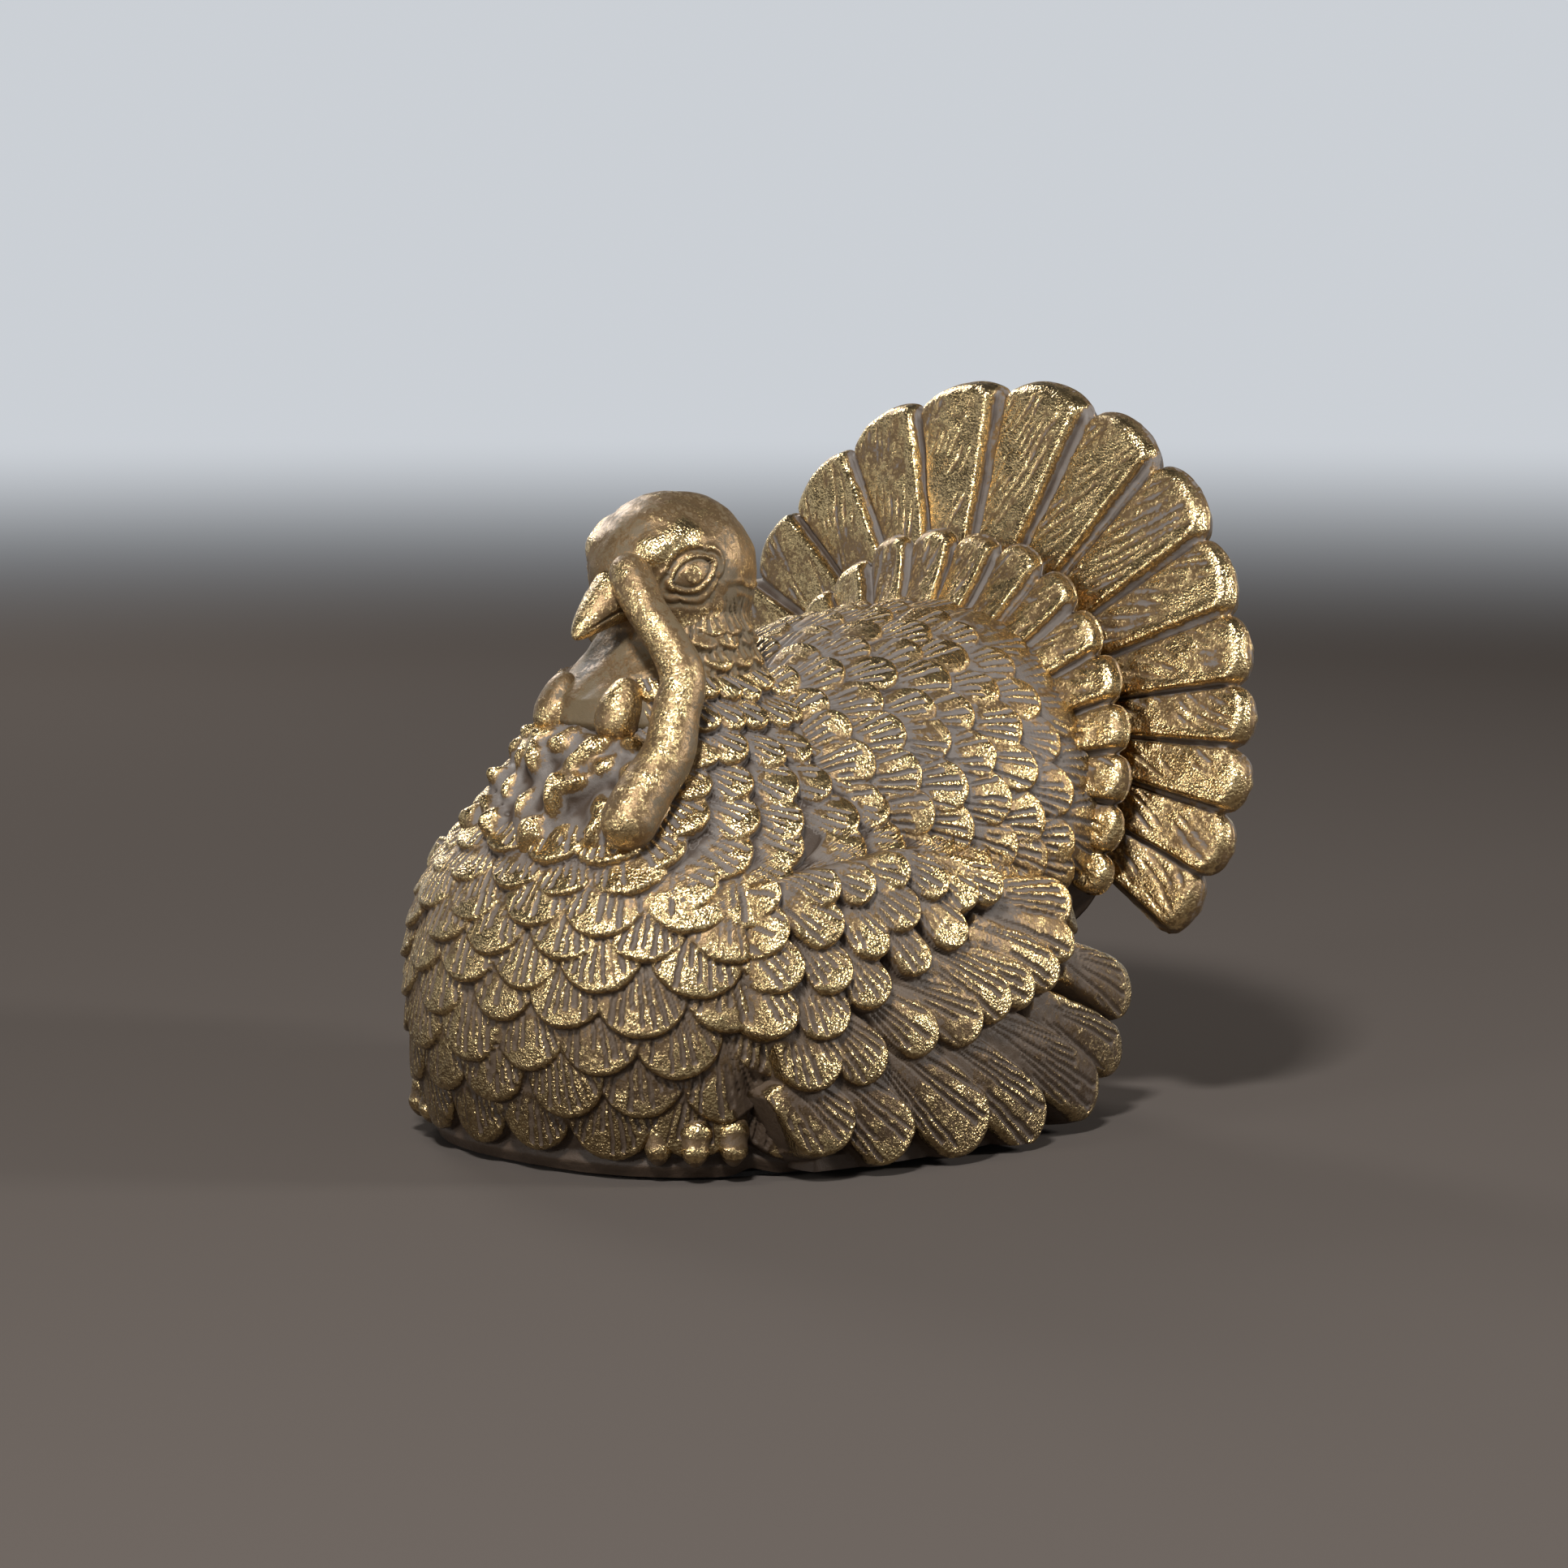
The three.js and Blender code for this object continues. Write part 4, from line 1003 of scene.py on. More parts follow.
def make_head(material):
    """Skull and neck, with eyes, and with soft ridges for brows, cheeks and creases. The nape
    has folds, which are bells across its height, over rows of small feathers, and the throat
    holds less leaf. The beak comes after them."""
    columns, rows, crop = 330, 220, SEAM_COLUMNS
    turn = (np.arange(columns + 2 * crop) - crop)[None, :] * 2 * np.pi / columns + np.pi
    level = np.linspace(0, 1, rows)[:, None]
    points = head_surface(turn + 0 * level, level + 0 * turn)
    relief = Relief(points, head_centre(), 0, 61)
    relief.height += 0.35 * noise(points, 6, 62) + 0.16 * noise(points, 2.6, 63)
    relief.leaf[:] = 0.5 + 0.1 * noise(points, 8, 64) + 0.08 * noise(points, 3, 65)
    centre, halves = head_centre(), head_halves()
    rear = smooth(-0.1, 0.5, relief.normals[..., 1])
    low = points[..., 2] - centre[2] + 0.9 * relief.warp[..., 0] + 1.5 * rear
    for drop in (-2.4, -4.9, -7.4, -9.9):
        fold = np.exp(-(((low - drop) / 0.45) ** 2))
        fold = fold - 0.5 * np.exp(-(((low - drop - 1.2) / 0.7) ** 2))
        relief.height -= 0.75 * fold * rear * smooth(-1, 1, relief.warp[..., 1] + 0.4)
        relief.leaf -= 0.25 * fold * rear
    for side in (1, -1):
        mirror = np.array([side, 1.0, 1.0])
        carve_eye(relief, side)
        for place, toward, *form in HEAD_RIDGES.values():
            carve_ridge(relief, centre + halves * mirror * place, mirror * toward, *form)
    step, limit = math.radians(23), math.radians(124)
    for row, place in enumerate(NAPE_ROWS):
        for k in range(-5, 6):
            rng = np.random.default_rng([16, row, k + 50])
            around = np.array(math.pi + step * (k + 0.5 * (row % 2) + 0.1 * rng.uniform(-1, 1)))
            if abs(around - math.pi) > limit:
                continue
            tip = head_surface(around, np.array(place))
            toward = head_surface(around, np.array(place - 0.02)) - tip
            feather(relief, tip, toward, 4.2, 10, rng, tilt=1.5, lean=12, worn=0.5)
    points, normals, proud, leaf = [part[:, crop:-crop] for part in relief.finished(0.05)]
    points = points.copy()
    points[-1] = points[-1].mean(0)
    ahead = smooth(0.2, 0.8, -relief.normals[:, crop:-crop, 1])
    throat = ahead * smooth(-9, -15, points[..., 2] - centre[2])
    add_piece("head_and_neck", closed_tube(points), ["head"], material,
              proud, leaf - 0.12 - 0.12 * throat, normals)
    make_beak(material)


def make_beak(material):
    """Beak: a cone that bends down to a blunt hook, with a ridge on top, a slit for the
    mouth along each side and a nostril, each a bell across the angle from the top."""
    centre, halves = head_centre(), head_halves()
    share = np.linspace(0, 1, 90)[:, None]
    turn = np.linspace(0, 2 * np.pi, 100, endpoint=False)[None, :]
    front = centre[1] - halves[1] - 9.0
    along = front + 14.5 * (1 - share)
    up = centre[2] - 2.6 - 8.4 * share**1.45
    slim = np.sqrt(np.maximum(0.0, 1 - share**1.7)) * (1 - 0.25 * share)
    half = 6.1 * slim + 0.02
    tall = 6.5 * slim + 0.02
    from_top = np.abs(np.angle(np.exp(1j * turn)))
    ridge = 0.55 * np.exp(-((from_top / 0.3) ** 2)) * (1 - share)
    slit = np.exp(-(((from_top - 1.95 + 0.2 * share) / 0.09) ** 2))
    slit = 0.45 * slit * smooth(0.98, 0.6, share)
    hole = 0.8 * np.exp(-(((from_top - 0.95) / 0.2) ** 2) - ((share - 0.42) / 0.06) ** 2)
    grow = ridge - slit - hole
    loops = np.stack([
        (half + grow) * np.sin(turn), along + 0 * turn, up + (tall + grow) * np.cos(turn)
    ], -1)
    loops += 0.14 * noise(loops, 2.4, 66)[..., None] * np.minimum(1, 3 * (1 - share))[..., None]
    leaf = 0.62 - 0.5 * slit + 0.15 * noise(loops, 3, 67)
    add_piece("beak", closed_tube(loops), ["head"], material,
              grow - 0.05, leaf, wrapped_normals(loops))


def tube(route, radii, count, seed, rough):
    """A round tube carried along a smooth path: loops square to the path, with the radius
    read from a table along it and small uneven swellings."""
    legs = np.linalg.norm(np.diff(route, axis=0), axis=1)
    places = np.concatenate([[0], np.cumsum(legs)]) / legs.sum()
    share = 0.5 - 0.5 * np.cos(np.pi * np.linspace(0, 1, count[0]))
    middle = table_at(np.column_stack([places, route]), share)
    reach = count[0] // 13
    weights = np.hanning(2 * reach + 3)[1:-1]
    padded = np.pad(middle, ((reach, reach), (0, 0)), mode="reflect", reflect_type="odd")
    middle = np.stack([np.convolve(line, weights / weights.sum(), "valid") for line in padded.T], -1)
    heading = unit(np.gradient(middle, axis=0))
    side = unit(np.array([1.0, 0, 0]) - heading * heading[:, :1])
    up = np.cross(heading, side)
    turn = np.linspace(0, 2 * np.pi, count[1], endpoint=False)
    ring = side[:, None] * np.cos(turn)[None, :, None] + up[:, None] * np.sin(turn)[None, :, None]
    radius = table_at(radii, share)[:, 0]
    from_end = legs.sum() * np.minimum(share, 1 - share)
    cap = np.sqrt(np.maximum(0, 1 - (1 - np.minimum(1, from_end / radius)) ** 2))
    loops = middle[:, None] + ring * (radius * cap)[:, None, None]
    bumps = rough * (noise(loops, 5, seed) + 0.45 * noise(loops, 1.8, seed + 1))
    return loops + ring * (bumps * cap[:, None])[..., None], bumps, share


def make_snood(material):
    """The snood: a fleshy tube from over the beak down the side of the breast, thickest and
    round at its hanging end. Its route is given on the skull, and then as angles and height
    shares on the breast. Most leaf lies on its outward side."""
    centre, halves = head_centre(), head_halves()
    tip = millimetres(sizes().snood_radius)
    on_head = np.array([
        [0.165, -0.82, 0.2], [0.36, -0.935, 0.0], [0.72, -1.025, -0.36],
        [1.17, -1.04, -0.79], [1.44, -1.0, -1.28],
    ])
    on_breast = np.array([
        [0.942, 54, 1.3], [0.875, 49.5, 1.05], [0.81, 40, 1], [0.745, 32.5, 1], [0.68, 27.5, 0.85],
    ])
    skin = body_surface(np.radians(on_breast[:, 1]), on_breast[:, 0])
    out = unit(np.stack([skin[:, 0], skin[:, 1] * 0.9, 0 * skin[:, 0]], -1))
    route = np.concatenate([centre + on_head * halves, skin + out * on_breast[:, 2:] * tip])
    radii = [
        [0, 4.1], [0.1, 4.2], [0.22, 3.9], [0.42, 4.3],
        [0.65, tip - 0.7], [0.88, tip - 0.2], [1, tip - 0.4],
    ]
    loops, bumps, along = tube(route, radii, (230, 90), 71, 0.1)
    normals = wrapped_normals(loops)
    outward = unit((loops - [0, 4, 0]) * [1, 1, 0])
    facing = smooth(0.35, 0.95, (normals * outward).sum(-1))
    leaf = 0.3 + 0.5 * bumps + 0.24 * facing + 0.06 * smooth(0.5, 0.9, along)[:, None]
    add_piece("snood_skin", closed_tube(loops), ["snood"], material,
              bumps * 0.5 + 0.12, leaf, normals)


def make_wattles(material):
    """Two drop-shaped lobes on the throat: round across, fuller at the foot, swung out with
    the throat's slope, and with soft uneven swellings."""
    level = np.linspace(0, np.pi, 60)[:, None]
    turn = np.linspace(0, 2 * np.pi, 90, endpoint=False)[None, :]
    swing = math.radians(24)
    for side in (1, -1):
        middle = body_place(side * 23, 0.94) + [0, -0.2, 0]
        fat = np.sin(level) ** 0.8 * (1 - 0.22 * np.cos(level))
        across, ahead = 4.3 * fat * np.sin(turn), -4.2 * fat * np.cos(turn)
        shape = np.stack([across, ahead, 6.4 * np.cos(level) + 0 * turn], -1)
        y, z = shape[..., 1].copy(), shape[..., 2].copy()
        shape[..., 1] = y * math.cos(swing) + z * math.sin(swing)
        shape[..., 2] = z * math.cos(swing) - y * math.sin(swing)
        loops = middle + shape
        bumps = 0.22 * noise(loops, 4, 75 + side)
        loops += unit(shape) * bumps[..., None] * np.sin(level)[..., None]
        leaf = 0.45 + 0.4 * bumps + 0.2 * smooth(-0.2, -0.9, np.cos(level))
        name = side_name("wattle", side)
        add_piece(f"{name}_lobe", closed_tube(loops), [name], material,
                  bumps, leaf + 0 * turn, wrapped_normals(loops))


def make_bib(material):
    """The bib of caruncles over the front of the neck, which tapers down the breast: lumps of
    uneven size, each a bell over the distance from its middle, that add up where they meet,
    with small pits between them."""
    rows, columns = 150, 220
    share = np.linspace(0.60, 0.93, rows)[:, None]
    sweep = np.radians(np.linspace(-50, 50, columns))[None, :]
    points = body_surface(sweep + 0 * share, share + 0 * sweep)
    degrees, level = np.degrees(sweep), share
    wobble = 0.16 * noise(points, 7, 81)
    spread = 41 - 60 * np.maximum(0, 0.75 - level)
    out = np.maximum(np.abs(degrees) / spread, np.abs(level - 0.775) / 0.125) + wobble
    relief = Relief(points, (0, -20, 70), 0.2 - 6 * smooth(0.85, 1.25, out), 82)
    relief.leaf[:] = 0.12
    rng = np.random.default_rng(83)
    for row, height in enumerate(np.arange(0.685, 0.905, 0.045)):
        for k in range(-3, 4):
            turn = 14 * (k + 0.5 * (row % 2)) + rng.uniform(-4, 4)
            level_here = height + rng.uniform(-0.012, 0.012)
            half, tall = rng.uniform(2.4, 3.9), rng.uniform(2.4, 4.4)
            if abs(turn) > BIB_HALF_TURN - 60 * max(0, 0.75 - level_here):
                continue
            at = body_place(turn, level_here)
            toward = np.array([0.9 * rng.uniform(-1, 1), -0.3, -1])
            block, across, along = relief.local(at, toward, 3 * half, 1.0)
            near = np.hypot(across / half, along / (1.3 * half))
            relief.height[block] += tall * np.exp(-1.5 * near**2)
            relief.leaf[block] += 0.42 * np.exp(-1.6 * near**2)
    for _ in range(14):
        turn, height = rng.uniform(-36, 36), rng.uniform(0.68, 0.88)
        block, across, along = relief.local(body_place(turn, height), np.array([0, 0, -1.0]), 4, 0.2)
        pit = np.exp(-((across**2 + along**2) / rng.uniform(0.15, 0.5)))
        relief.height[block] -= 0.9 * pit
        relief.leaf[block] -= 0.5 * pit
    relief.height += 0.55 * noise(points, 3.4, 84) + 0.12 * noise(points, 1.4, 85)
    add_relief("caruncle_lumps", relief, (0, 3, -1), (0, -30, 68), ["caruncle_bib"],
               material)


def make_feet(material):
    """Both feet: three toes each, tubes that bend down to the felt, flat under their ends. A
    wave along each toe swells it at the knuckles, and gilds them."""
    floor = millimetres(sizes().felt_thickness)
    degrees = 41
    sine, cosine = math.sin(math.radians(degrees)), math.cos(math.radians(degrees))
    for side in (1, -1):
        ankle = body_place(side * degrees, 0.055)
        out, across = np.array([side * sine, -cosine, 0]), np.array([side * cosine, sine, 0])
        points, quads, triangles, proud, leaf = [], [], [], [], []
        for k in (-1, 0, 1):
            start = ankle + across * 6.1 * k - out * (3.6 - 1.6 * (k == 0))
            lean = unit(out + 0.22 * k * across)
            route = np.stack([start + lean * ahead + [0, 0, up - ankle[2]] for ahead, up in TOE_ROUTE])
            radii = [[0, 2.4], [0.3, 3.0], [0.55, 3.1], [0.78, 2.7], [0.9, 2.1], [1, 1.5]]
            loops, bumps, along = tube(route, radii, (70, 44), 91 + k, 0.15)
            middle = loops.mean(axis=1, keepdims=True)
            wave = np.cos(2 * np.pi * along * 3.6)[:, None]
            loops = middle + (loops - middle) * (1 + 0.07 * wave[..., None])
            loops[..., 2] = np.maximum(loops[..., 2], floor + 0.05)
            flat, four, three = closed_tube(loops)
            offset = sum(len(part) for part in points)
            points.append(flat)
            quads.append(four + offset)
            triangles.append(three + offset)
            ring = 0.3 * wave + bumps
            gilt = 0.34 + 0.5 * ring + 0.2 * smooth(0.3, 0.6, along)[:, None]
            proud.append(np.append(ring, [0, 0]))
            leaf.append(np.append(gilt, [0.3, 0.3]))
        name = side_name("foot", side)
        shape = [np.concatenate(part) for part in (points, quads, triangles)]
        add_piece(f"{name}_toes", shape, [name], material,
                  np.concatenate(proud), np.concatenate(leaf))


class Wiring:
    """Adds nodes to a tree and joins them: an input is a value, or another node's output."""

    def __init__(self, tree):
        self.tree = tree

    def node(self, kind, inputs=(), **settings):
        """A node of one kind, with its settings and inputs."""
        made = self.tree.nodes.new(kind)
        for key, value in settings.items():
            setattr(made, key, value)
        for key, value in dict(inputs).items():
            if isinstance(value, bpy.types.NodeSocket):
                self.tree.links.new(value, made.inputs[key])
            else:
                made.inputs[key].default_value = value
        return made

    def group(self, group, inputs):
        """The outputs of a node group, by name."""
        return self.node("ShaderNodeGroup", inputs, node_tree=group).outputs

    def maths(self, kind, *values):
        """One step of arithmetic on values or outputs."""
        return self.node("ShaderNodeMath", enumerate(values), operation=kind).outputs[0]

    def ramp(self, value, low, high, to_low=0.0, to_high=1.0):
        """A smooth rise from to_low, where the value is low, to to_high, where it is high."""
        return self.node("ShaderNodeMapRange", {
            "Value": value, "From Min": low, "From Max": high, "To Min": to_low, "To Max": to_high,
        }, interpolation_type="SMOOTHSTEP").outputs[0]

    def mix(self, share, low, high):
        """A blend of two colours: low at share 0, high at share 1."""
        return self.node(
            "ShaderNodeMix", {0: share, 6: low, 7: high}, data_type="RGBA"
        ).outputs[2]

    def grain(self, place, scale, detail=2.0, roughness=0.5):
        """Cloudy noise round 0.5 at a place in the material."""
        return self.node("ShaderNodeTexNoise", {
            "Vector": place, "Scale": scale, "Detail": detail, "Roughness": roughness,
        }).outputs[0]


def node_group(name, inputs, outputs, fill):
    """A shader node group with named inputs and outputs, filled by a function that gets its
    wiring and inputs and returns its outputs in order."""
    group = bpy.data.node_groups.new(name, "ShaderNodeTree")
    for label, kind, default in inputs:
        socket = group.interface.new_socket(label, in_out="INPUT", socket_type=kind)
        if default is not None:
            socket.default_value = default
    for label, kind in outputs:
        group.interface.new_socket(label, in_out="OUTPUT", socket_type=kind)
    start, end = group.nodes.new("NodeGroupInput"), group.nodes.new("NodeGroupOutput")
    for socket, result in zip(end.inputs, fill(Wiring(group), start.outputs)):
        group.links.new(result, socket)
    return group


def gilding_group():
    """Worn gold leaf over paint: leaf lies on what stands proud, thins out to bronze at its
    edges and leaves the hollows to the paint. Painted shade darkens and browns the paint low
    on the figure, and dark painted shade lies in the recesses, in the gaps where no leaf is,
    and over the foot."""

    def fill(wire, given):
        place = given["Place"]
        patches = wire.grain(place, 300, 4, 0.7)
        flakes = wire.grain(place, 1300, 3, 0.7)
        clouds = wire.grain(place, 45, 2, 0.5)
        cover = wire.maths("MULTIPLY_ADD", given["Proud"], 0.35, given["Leaf"])
        for pattern, amount in ((patches, given["Patches"]), (flakes, 0.7), (clouds, 0.5)):
            cover = wire.maths("MULTIPLY_ADD", wire.maths("SUBTRACT", pattern, 0.5), amount, cover)
        cover = wire.maths("ADD", cover, given["Cover"])
        thin = wire.ramp(cover, 0.24, 0.36)
        bright = wire.ramp(cover, 0.42, 0.62)
        height = wire.node("ShaderNodeSeparateXYZ", {0: place}).outputs[2]
        # Painted shade toward the foot: stronger the lower a point lies, and full at the very bottom
        low = wire.maths("MULTIPLY", wire.ramp(height, 0.055, 0.0), given["Stain Depth"])
        low = wire.maths("MAXIMUM", low, wire.ramp(height, 0.005, 0.0015))
        # Painted shade in recesses, where a point lies below its surroundings
        recess_shade = wire.ramp(given["Proud"], -0.4, -0.95)
        leaf = wire.mix(wire.ramp(patches, 0.35, 0.65), given["Bronze"], given["Leaf Colour"])
        leaf = wire.mix(wire.ramp(flakes, 0.4, 0.62, 0.35, 1.0), leaf, given["Leaf Colour"])
        cells = wire.node("ShaderNodeTexVoronoi", {"Vector": place, "Scale": 1500.0}).outputs[1]
        facet = wire.node("ShaderNodeSeparateXYZ", {0: cells}).outputs[0]
        leaf = wire.mix(wire.ramp(facet, 0.55, 0.0, 0.0, 0.55), leaf, given["Bronze"])
        # Painted shade: the paint turns darker and browner toward the foot
        foot_shade_colour = wire.mix(0.5, given["Painted Shade"], given["Bronze"])
        paint = wire.mix(wire.ramp(height, 0.075, 0.02, 0.0, 0.8), given["Paint"], foot_shade_colour)
        colour = wire.mix(thin, paint, given["Bronze"])
        colour = wire.mix(bright, colour, leaf)
        # Less painted shade where leaf is left, full painted shade where the leaf value is lowest:
        # gaps, bare ground and clefts
        recess_shade = wire.maths("MULTIPLY", recess_shade, wire.ramp(given["Leaf"], -0.2, 0.1, 0.25, 0.95))
        recess_shade = wire.maths("MAXIMUM", recess_shade, wire.ramp(given["Leaf"], -0.4, -0.65, 0.0, 0.9))
        # All the painted shade darkens the colour, less over bright leaf
        painted_shade = wire.maths("MAXIMUM", recess_shade, low)
        painted_shade = wire.maths("MULTIPLY", painted_shade, wire.ramp(bright, 1.0, 0.0, 0.6, 1.0))
        colour = wire.mix(painted_shade, colour, given["Painted Shade"])
        metal = wire.maths("MULTIPLY_ADD", bright, 0.3, wire.maths("MULTIPLY", thin, 0.7))
        rough = wire.maths("MULTIPLY_ADD", bright, -0.16, wire.maths("MULTIPLY_ADD", thin, -0.2, 0.6))
        rough = wire.maths("MULTIPLY_ADD", wire.maths("SUBTRACT", flakes, 0.5), 0.2, rough)
        return colour, metal, rough, bright

    return node_group(
        "Worn Gold Leaf",
        (
            ("Place", "NodeSocketVector", None),
            ("Proud", "NodeSocketFloat", 0.0),
            ("Leaf", "NodeSocketFloat", 0.5),
            ("Cover", "NodeSocketFloat", 0.0),
            ("Stain Depth", "NodeSocketFloat", 0.5),
            ("Patches", "NodeSocketFloat", 0.9),
            ("Leaf Colour", "NodeSocketColor", None),
            ("Bronze", "NodeSocketColor", None),
            ("Paint", "NodeSocketColor", None),
            ("Painted Shade", "NodeSocketColor", None),
        ),
        (
            ("Colour", "NodeSocketColor"),
            ("Metal", "NodeSocketFloat"),
            ("Roughness", "NodeSocketFloat"),
            ("Bright", "NodeSocketFloat"),
        ),
        fill,
    )


def grain_group():
    """Height of a cast and gilded surface: coarse and fine grain, and specks where leaf lies."""

    def fill(wire, given):
        place = given["Place"]
        fine = wire.grain(place, 3600, 2, 0.6)
        coarse = wire.grain(place, 800, 3, 0.6)
        specks = wire.node("ShaderNodeTexVoronoi", {"Vector": place, "Scale": 2000.0}).outputs[0]
        flake = wire.maths("MULTIPLY", wire.maths("MULTIPLY", specks, given["Leaf"]), 0.8)
        height = wire.maths("MULTIPLY_ADD", coarse, 0.9, wire.maths("MULTIPLY", fine, 0.35))
        return (wire.maths("MULTIPLY", wire.maths("ADD", height, flake), given["Strength"]),)

    return node_group(
        "Cast Grain",
        (
            ("Place", "NodeSocketVector", None),
            ("Leaf", "NodeSocketFloat", 0.5),
            ("Strength", "NodeSocketFloat", 1.0),
        ),
        (("Height", "NodeSocketFloat"),),
        fill,
    )


def new_material(name):
    """An empty material, with what adds nodes to it and its Object coordinates."""
    material = bpy.data.materials.new(name)
    material.use_nodes = True
    material.node_tree.nodes.clear()
    wire = Wiring(material.node_tree)
    return material, wire, wire.node("ShaderNodeTexCoord").outputs["Object"]


def gilded_material(name, groups):
    """Gilded resin: worn leaf over paint, driven by the carving's own attributes."""
    look = gilding()
    paint, cover, painted_shade, grain, patches = GILDINGS[name]
    material, wire, place = new_material(name)
    proud, leaf = [
        wire.node("ShaderNodeAttribute", attribute_name=label).outputs["Fac"]
        for label in ("proud", "leaf")
    ]
    worn = wire.group(groups["leaf"], {
        "Place": place, "Proud": proud, "Leaf": leaf,
        "Cover": cover + look.cover, "Stain Depth": painted_shade, "Patches": patches,
        "Leaf Colour": (*look.leaf_colour, 1), "Bronze": (*look.bronze_colour, 1),
        "Paint": (*getattr(look, paint), 1), "Painted Shade": (*look.painted_shade_colour, 1),
    })
    pits = wire.group(groups["grain"], {
        "Place": place, "Leaf": worn["Bright"], "Strength": grain,
    })
    bump = wire.node("ShaderNodeBump", {
        "Height": pits["Height"], "Strength": 0.6, "Distance": 0.0003,
    })
    shader = wire.node("ShaderNodeBsdfPrincipled", {
        "Base Color": worn["Colour"], "Metallic": worn["Metal"],
        "Roughness": worn["Roughness"], "Normal": bump.outputs[0],
    })
    wire.node("ShaderNodeOutputMaterial", {"Surface": shader.outputs[0]})


def felt_material(name):
    """Black felt: matt, with a short uneven nap."""
    material, wire, place = new_material(name)
    nap = wire.grain(place, 2200, 3, 0.7)
    dark = (*gilding().felt_colour, 1)
    pale = (*(2.2 * np.array(gilding().felt_colour)), 1)
    bump = wire.node("ShaderNodeBump", {"Height": nap, "Strength": 0.6, "Distance": 0.0004})
    shader = wire.node("ShaderNodeBsdfPrincipled", {
        "Base Color": wire.mix(nap, dark, pale), "Roughness": 0.95, "Normal": bump.outputs[0],
    })
    wire.node("ShaderNodeOutputMaterial", {"Surface": shader.outputs[0]})


def materials():
    """The figure's materials by name, made once."""
    if "black_felt" not in bpy.data.materials:
        groups = {"leaf": gilding_group(), "grain": grain_group()}
        for name in GILDINGS:
            gilded_material(name, groups)
        felt_material("black_felt")
    return bpy.data.materials


class TURKEY_OT_body(Operator):
    """Build the breast, rump and back with their feathers"""

    bl_idname = "turkey.body"
    bl_label = "Body"

    def execute(self, context):
        gilded = materials()["gilded_body"]
        for side in (1, -1):
            make_breast(side, gilded)
            make_back(side, gilded)
        make_rump(gilded)
        return {"FINISHED"}


class TURKEY_OT_wings(Operator):
    """Build both folded wings"""

    bl_idname = "turkey.wings"
    bl_label = "Wings"

    def execute(self, context):
        for side in (1, -1):
            make_wing(side, materials()["gilded_body"])
        return {"FINISHED"}


class TURKEY_OT_tail(Operator):
    """Build the tail fan, its coverts and its hub"""

    bl_idname = "turkey.tail"
    bl_label = "Tail"

    def execute(self, context):
        make_fan(materials()["gilded_fan"])
        return {"FINISHED"}


class TURKEY_OT_head(Operator):
    """Build the head, beak, snood, wattles and bib"""

    bl_idname = "turkey.head"
    bl_label = "Head"

    def execute(self, context):
        worn = materials()["gilded_head"]
        make_head(worn)
        make_snood(worn)
        make_wattles(worn)
        make_bib(materials()["gilded_body"])
        return {"FINISHED"}


class TURKEY_OT_foot(Operator):
    """Build the feet and dress the felt under the figure"""

    bl_idname = "turkey.foot"
    bl_label = "Feet and felt"

    def execute(self, context):
        make_feet(materials()["gilded_head"])
        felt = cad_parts["base_felt"]
        felt.data.materials.clear()
        felt.data.materials.append(materials()["black_felt"])
        return {"FINISHED"}


class TURKEY_OT_stage(Operator):
    """Build the floor, world, lamps and camera"""

    bl_idname = "turkey.stage"
    bl_label = "Stage"

    def execute(self, context):
        make_stage()
        return {"FINISHED"}


class TURKEY_PT_panel(Panel):
    """Sidebar panel with the figure's pieces, sizes and finish"""

    bl_idname = "TURKEY_PT_panel"
    bl_label = "Gilded Turkey Figure"
    bl_space_type = "VIEW_3D"
    bl_region_type = "UI"
    bl_category = "Turkey"

    def draw(self, context):
        column = self.layout.column()
        for operator in OPERATORS:
            column.operator(operator.bl_idname)
        for group in (context.scene.turkey_sizes, context.scene.turkey_finish):
            for name in group.__annotations__:
                column.prop(group, name)


def lamp(name, place, power, size):
    """A square lamp that faces the figure."""
    data = bpy.data.lights.new(name, "AREA")
    data.energy, data.size = power, size
    made = bpy.data.objects.new(name, data)
    made.location = place
    made.rotation_euler = (Vector(LAMP_TARGET) - place).to_track_quat("-Z", "Y").to_euler()
    bpy.context.scene.collection.objects.link(made)


def floor_material():
    """Floor: plain dark taupe under the figure, which takes its shadow, fading with distance
    into the pale surround that the eye and polished metal see."""
    material, wire, place = new_material("taupe_floor")
    matt = wire.node("ShaderNodeBsdfDiffuse", {"Color": FLOOR_COLOUR})
    glow = wire.node("ShaderNodeEmission", {"Color": SURROUND_COLOUR, "Strength": seen_by_eye(wire)})
    away = wire.node("ShaderNodeVectorMath", {0: place}, operation="LENGTH").outputs["Value"]
    both = wire.node("ShaderNodeMixShader", {
        0: wire.ramp(away, 0.9, 2.4), 1: matt.outputs[0], 2: glow.outputs[0],
    })
    wire.node("ShaderNodeOutputMaterial", {"Surface": both.outputs[0]})
    return material


def seen_by_eye(wire):
    """1 for what the camera sees, by itself, in metal or through glass, and 0 for light that
    falls on the figure."""
    light_path = wire.node("ShaderNodeLightPath").outputs
    seen = wire.maths("MAXIMUM", light_path["Is Camera Ray"], light_path["Is Glossy Ray"])
    return wire.maths("MAXIMUM", seen, light_path["Is Transmission Ray"])


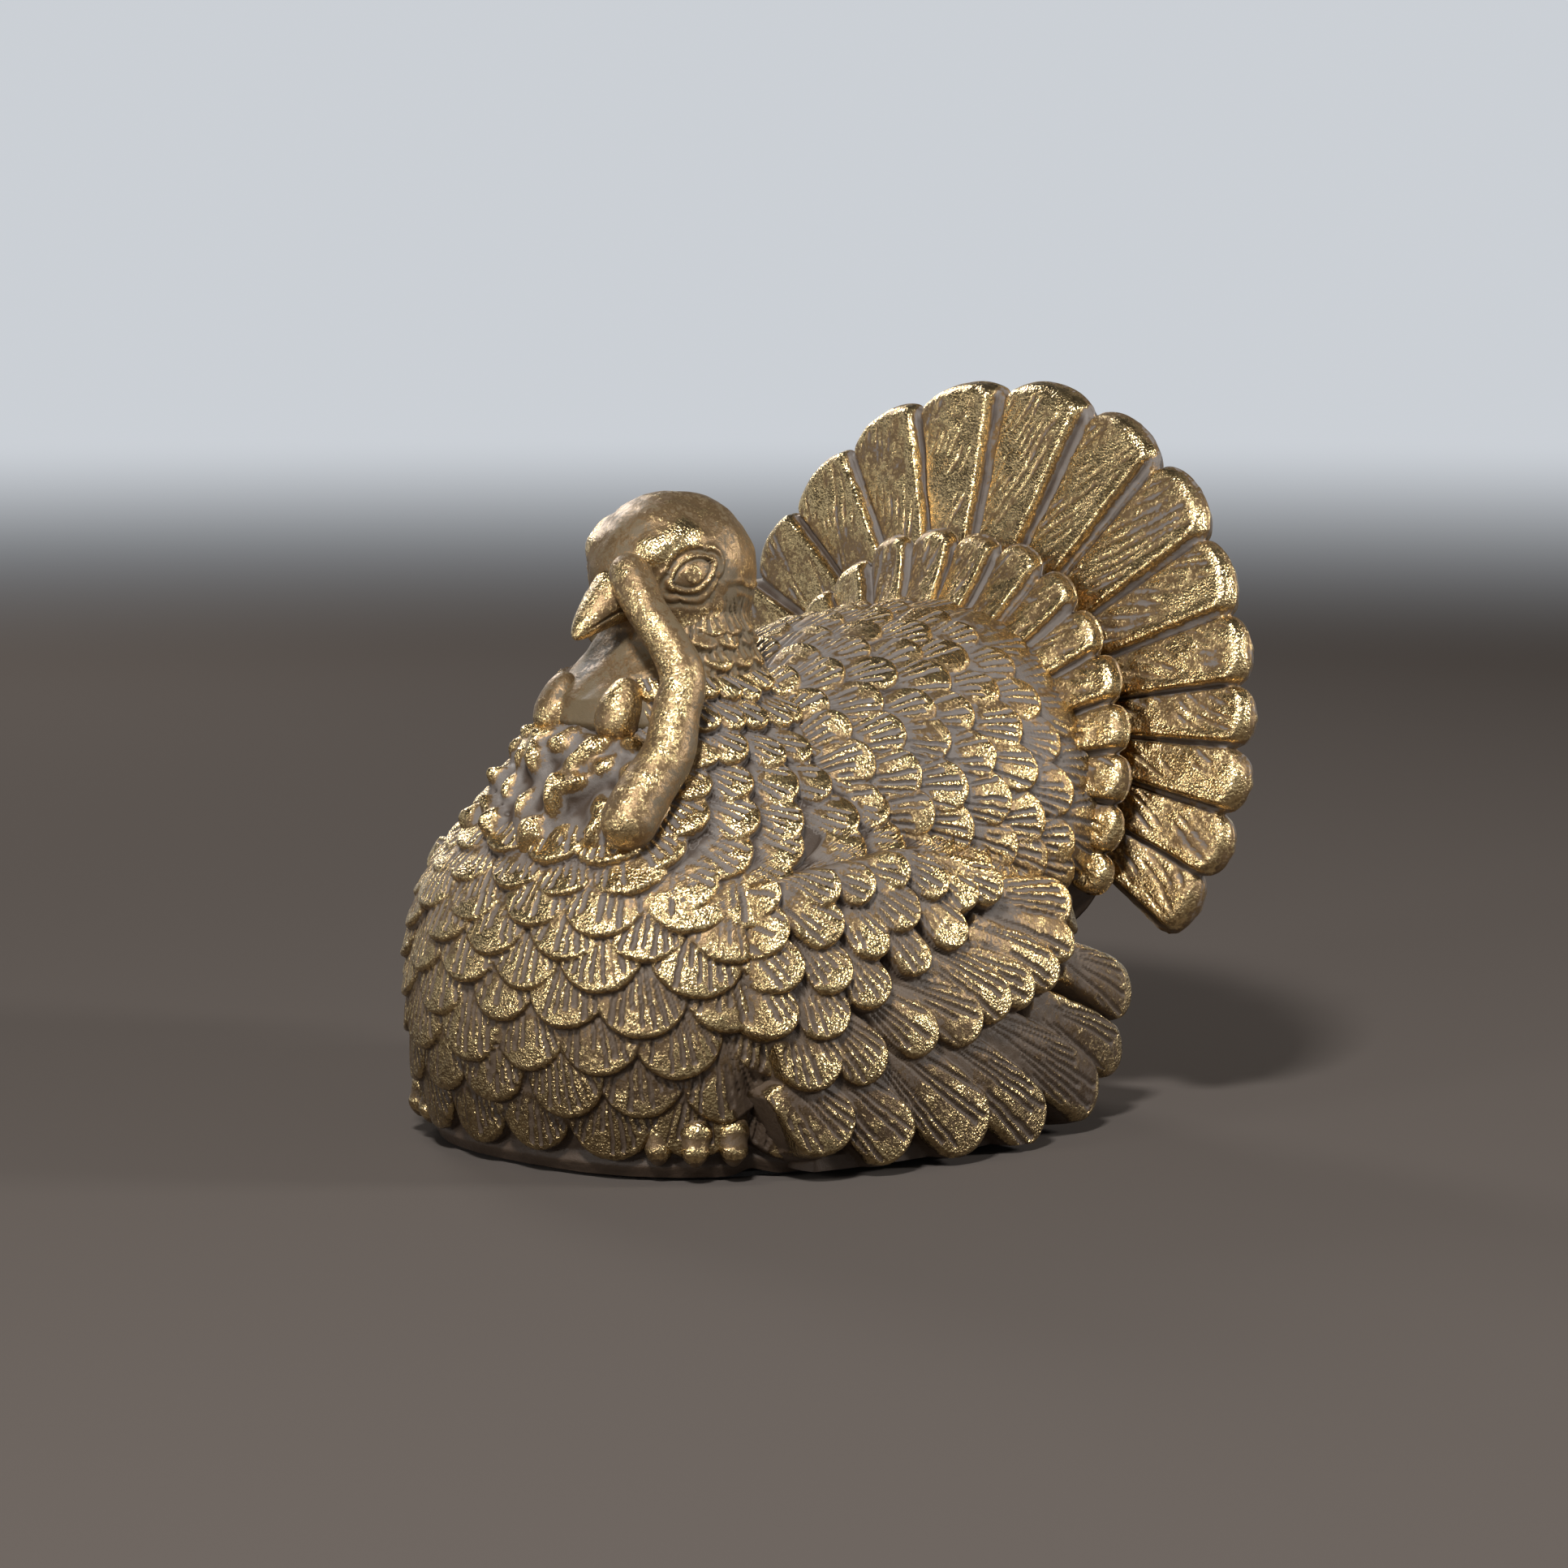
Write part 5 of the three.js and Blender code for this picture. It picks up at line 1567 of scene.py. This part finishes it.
def make_floor():
    """The floor: a flat grid that runs far behind the figure, as the camera sees it."""
    away = np.array([-math.sin(CAMERA_HEADING), math.cos(CAMERA_HEADING)])
    right = np.array([math.cos(CAMERA_HEADING), math.sin(CAMERA_HEADING)])
    across, depth = np.linspace(-3, 3, 3), np.linspace(-3, 9, 3)
    flat = depth[:, None, None] * away + across[None, :, None] * right
    points = np.concatenate([flat, np.zeros((len(depth), len(across), 1))], -1)
    mesh = bpy.data.meshes.new("floor")
    mesh.from_pydata(points.reshape(-1, 3).tolist(), [], grid_faces(len(depth), len(across)).tolist())
    mesh.shade_smooth()
    mesh.materials.append(floor_material())
    floor = bpy.data.objects.new("floor", mesh)
    bpy.context.scene.collection.objects.link(floor)


def make_world():
    """The world: a pale wall round the figure, under a dark ceiling."""
    world = bpy.data.worlds.new("studio")
    bpy.context.scene.world = world
    world.use_nodes = True
    world.node_tree.nodes.clear()
    wire = Wiring(world.node_tree)
    heading = wire.node("ShaderNodeTexCoord").outputs["Generated"]
    rise = wire.node("ShaderNodeSeparateXYZ", {0: heading}).outputs[2]
    wall = wire.mix(wire.ramp(rise, 0.1, 0.35), SURROUND_COLOUR, CEILING_COLOUR)
    shade = wire.node("ShaderNodeBackground", {"Color": wall, "Strength": 1.0})
    wire.node("ShaderNodeOutputWorld", {"Surface": shade.outputs[0]})


def make_stage():
    """A dark floor that fades into a pale wall, lamps before, beside and behind the figure,
    and the camera where the photograph was taken."""
    make_floor()
    make_world()
    scene = bpy.context.scene
    sine, cosine = math.sin(CAMERA_HEADING), math.cos(CAMERA_HEADING)
    side, back, up = Vector((cosine, sine, 0)), Vector((sine, -cosine, 0)), Vector((0, 0, 1))
    for name, (right, nearer, higher, power, size) in LAMPS.items():
        lamp(name, right * side + nearer * back + higher * up, power, size)

    data = bpy.data.cameras.new("camera")
    data.lens, data.sensor_width = 115.5, 36
    data.clip_start, data.clip_end = 0.05, 20
    camera = bpy.data.objects.new("camera", data)
    toward = math.cos(CAMERA_RISE) * back + math.sin(CAMERA_RISE) * up
    turn = Matrix((side, toward.cross(side), toward)).transposed()
    camera.matrix_world = Matrix.Translation(CAMERA_PLACE) @ turn.to_4x4()
    scene.collection.objects.link(camera)
    scene.camera = camera
    scene.view_settings.view_transform = "Standard"


OPERATORS = (
    TURKEY_OT_body, TURKEY_OT_wings, TURKEY_OT_tail, TURKEY_OT_head, TURKEY_OT_foot, TURKEY_OT_stage,
)
CLASSES = (TurkeySizes, TurkeyFinish, *OPERATORS, TURKEY_PT_panel)


def register():
    """Adds the classes, and the property groups to the scene."""
    for made in CLASSES:
        bpy.utils.register_class(made)
    bpy.types.Scene.turkey_sizes = PointerProperty(type=TurkeySizes)
    bpy.types.Scene.turkey_finish = PointerProperty(type=TurkeyFinish)


def unregister():
    """Takes them away again."""
    del bpy.types.Scene.turkey_sizes
    del bpy.types.Scene.turkey_finish
    for made in reversed(CLASSES):
        bpy.utils.unregister_class(made)


def main():
    """Builds the whole figure and its stage."""
    register()
    bpy.ops.turkey.body()
    bpy.ops.turkey.wings()
    bpy.ops.turkey.tail()
    bpy.ops.turkey.head()
    bpy.ops.turkey.foot()
    bpy.ops.turkey.stage()


if __name__ == "__main__":
    main()
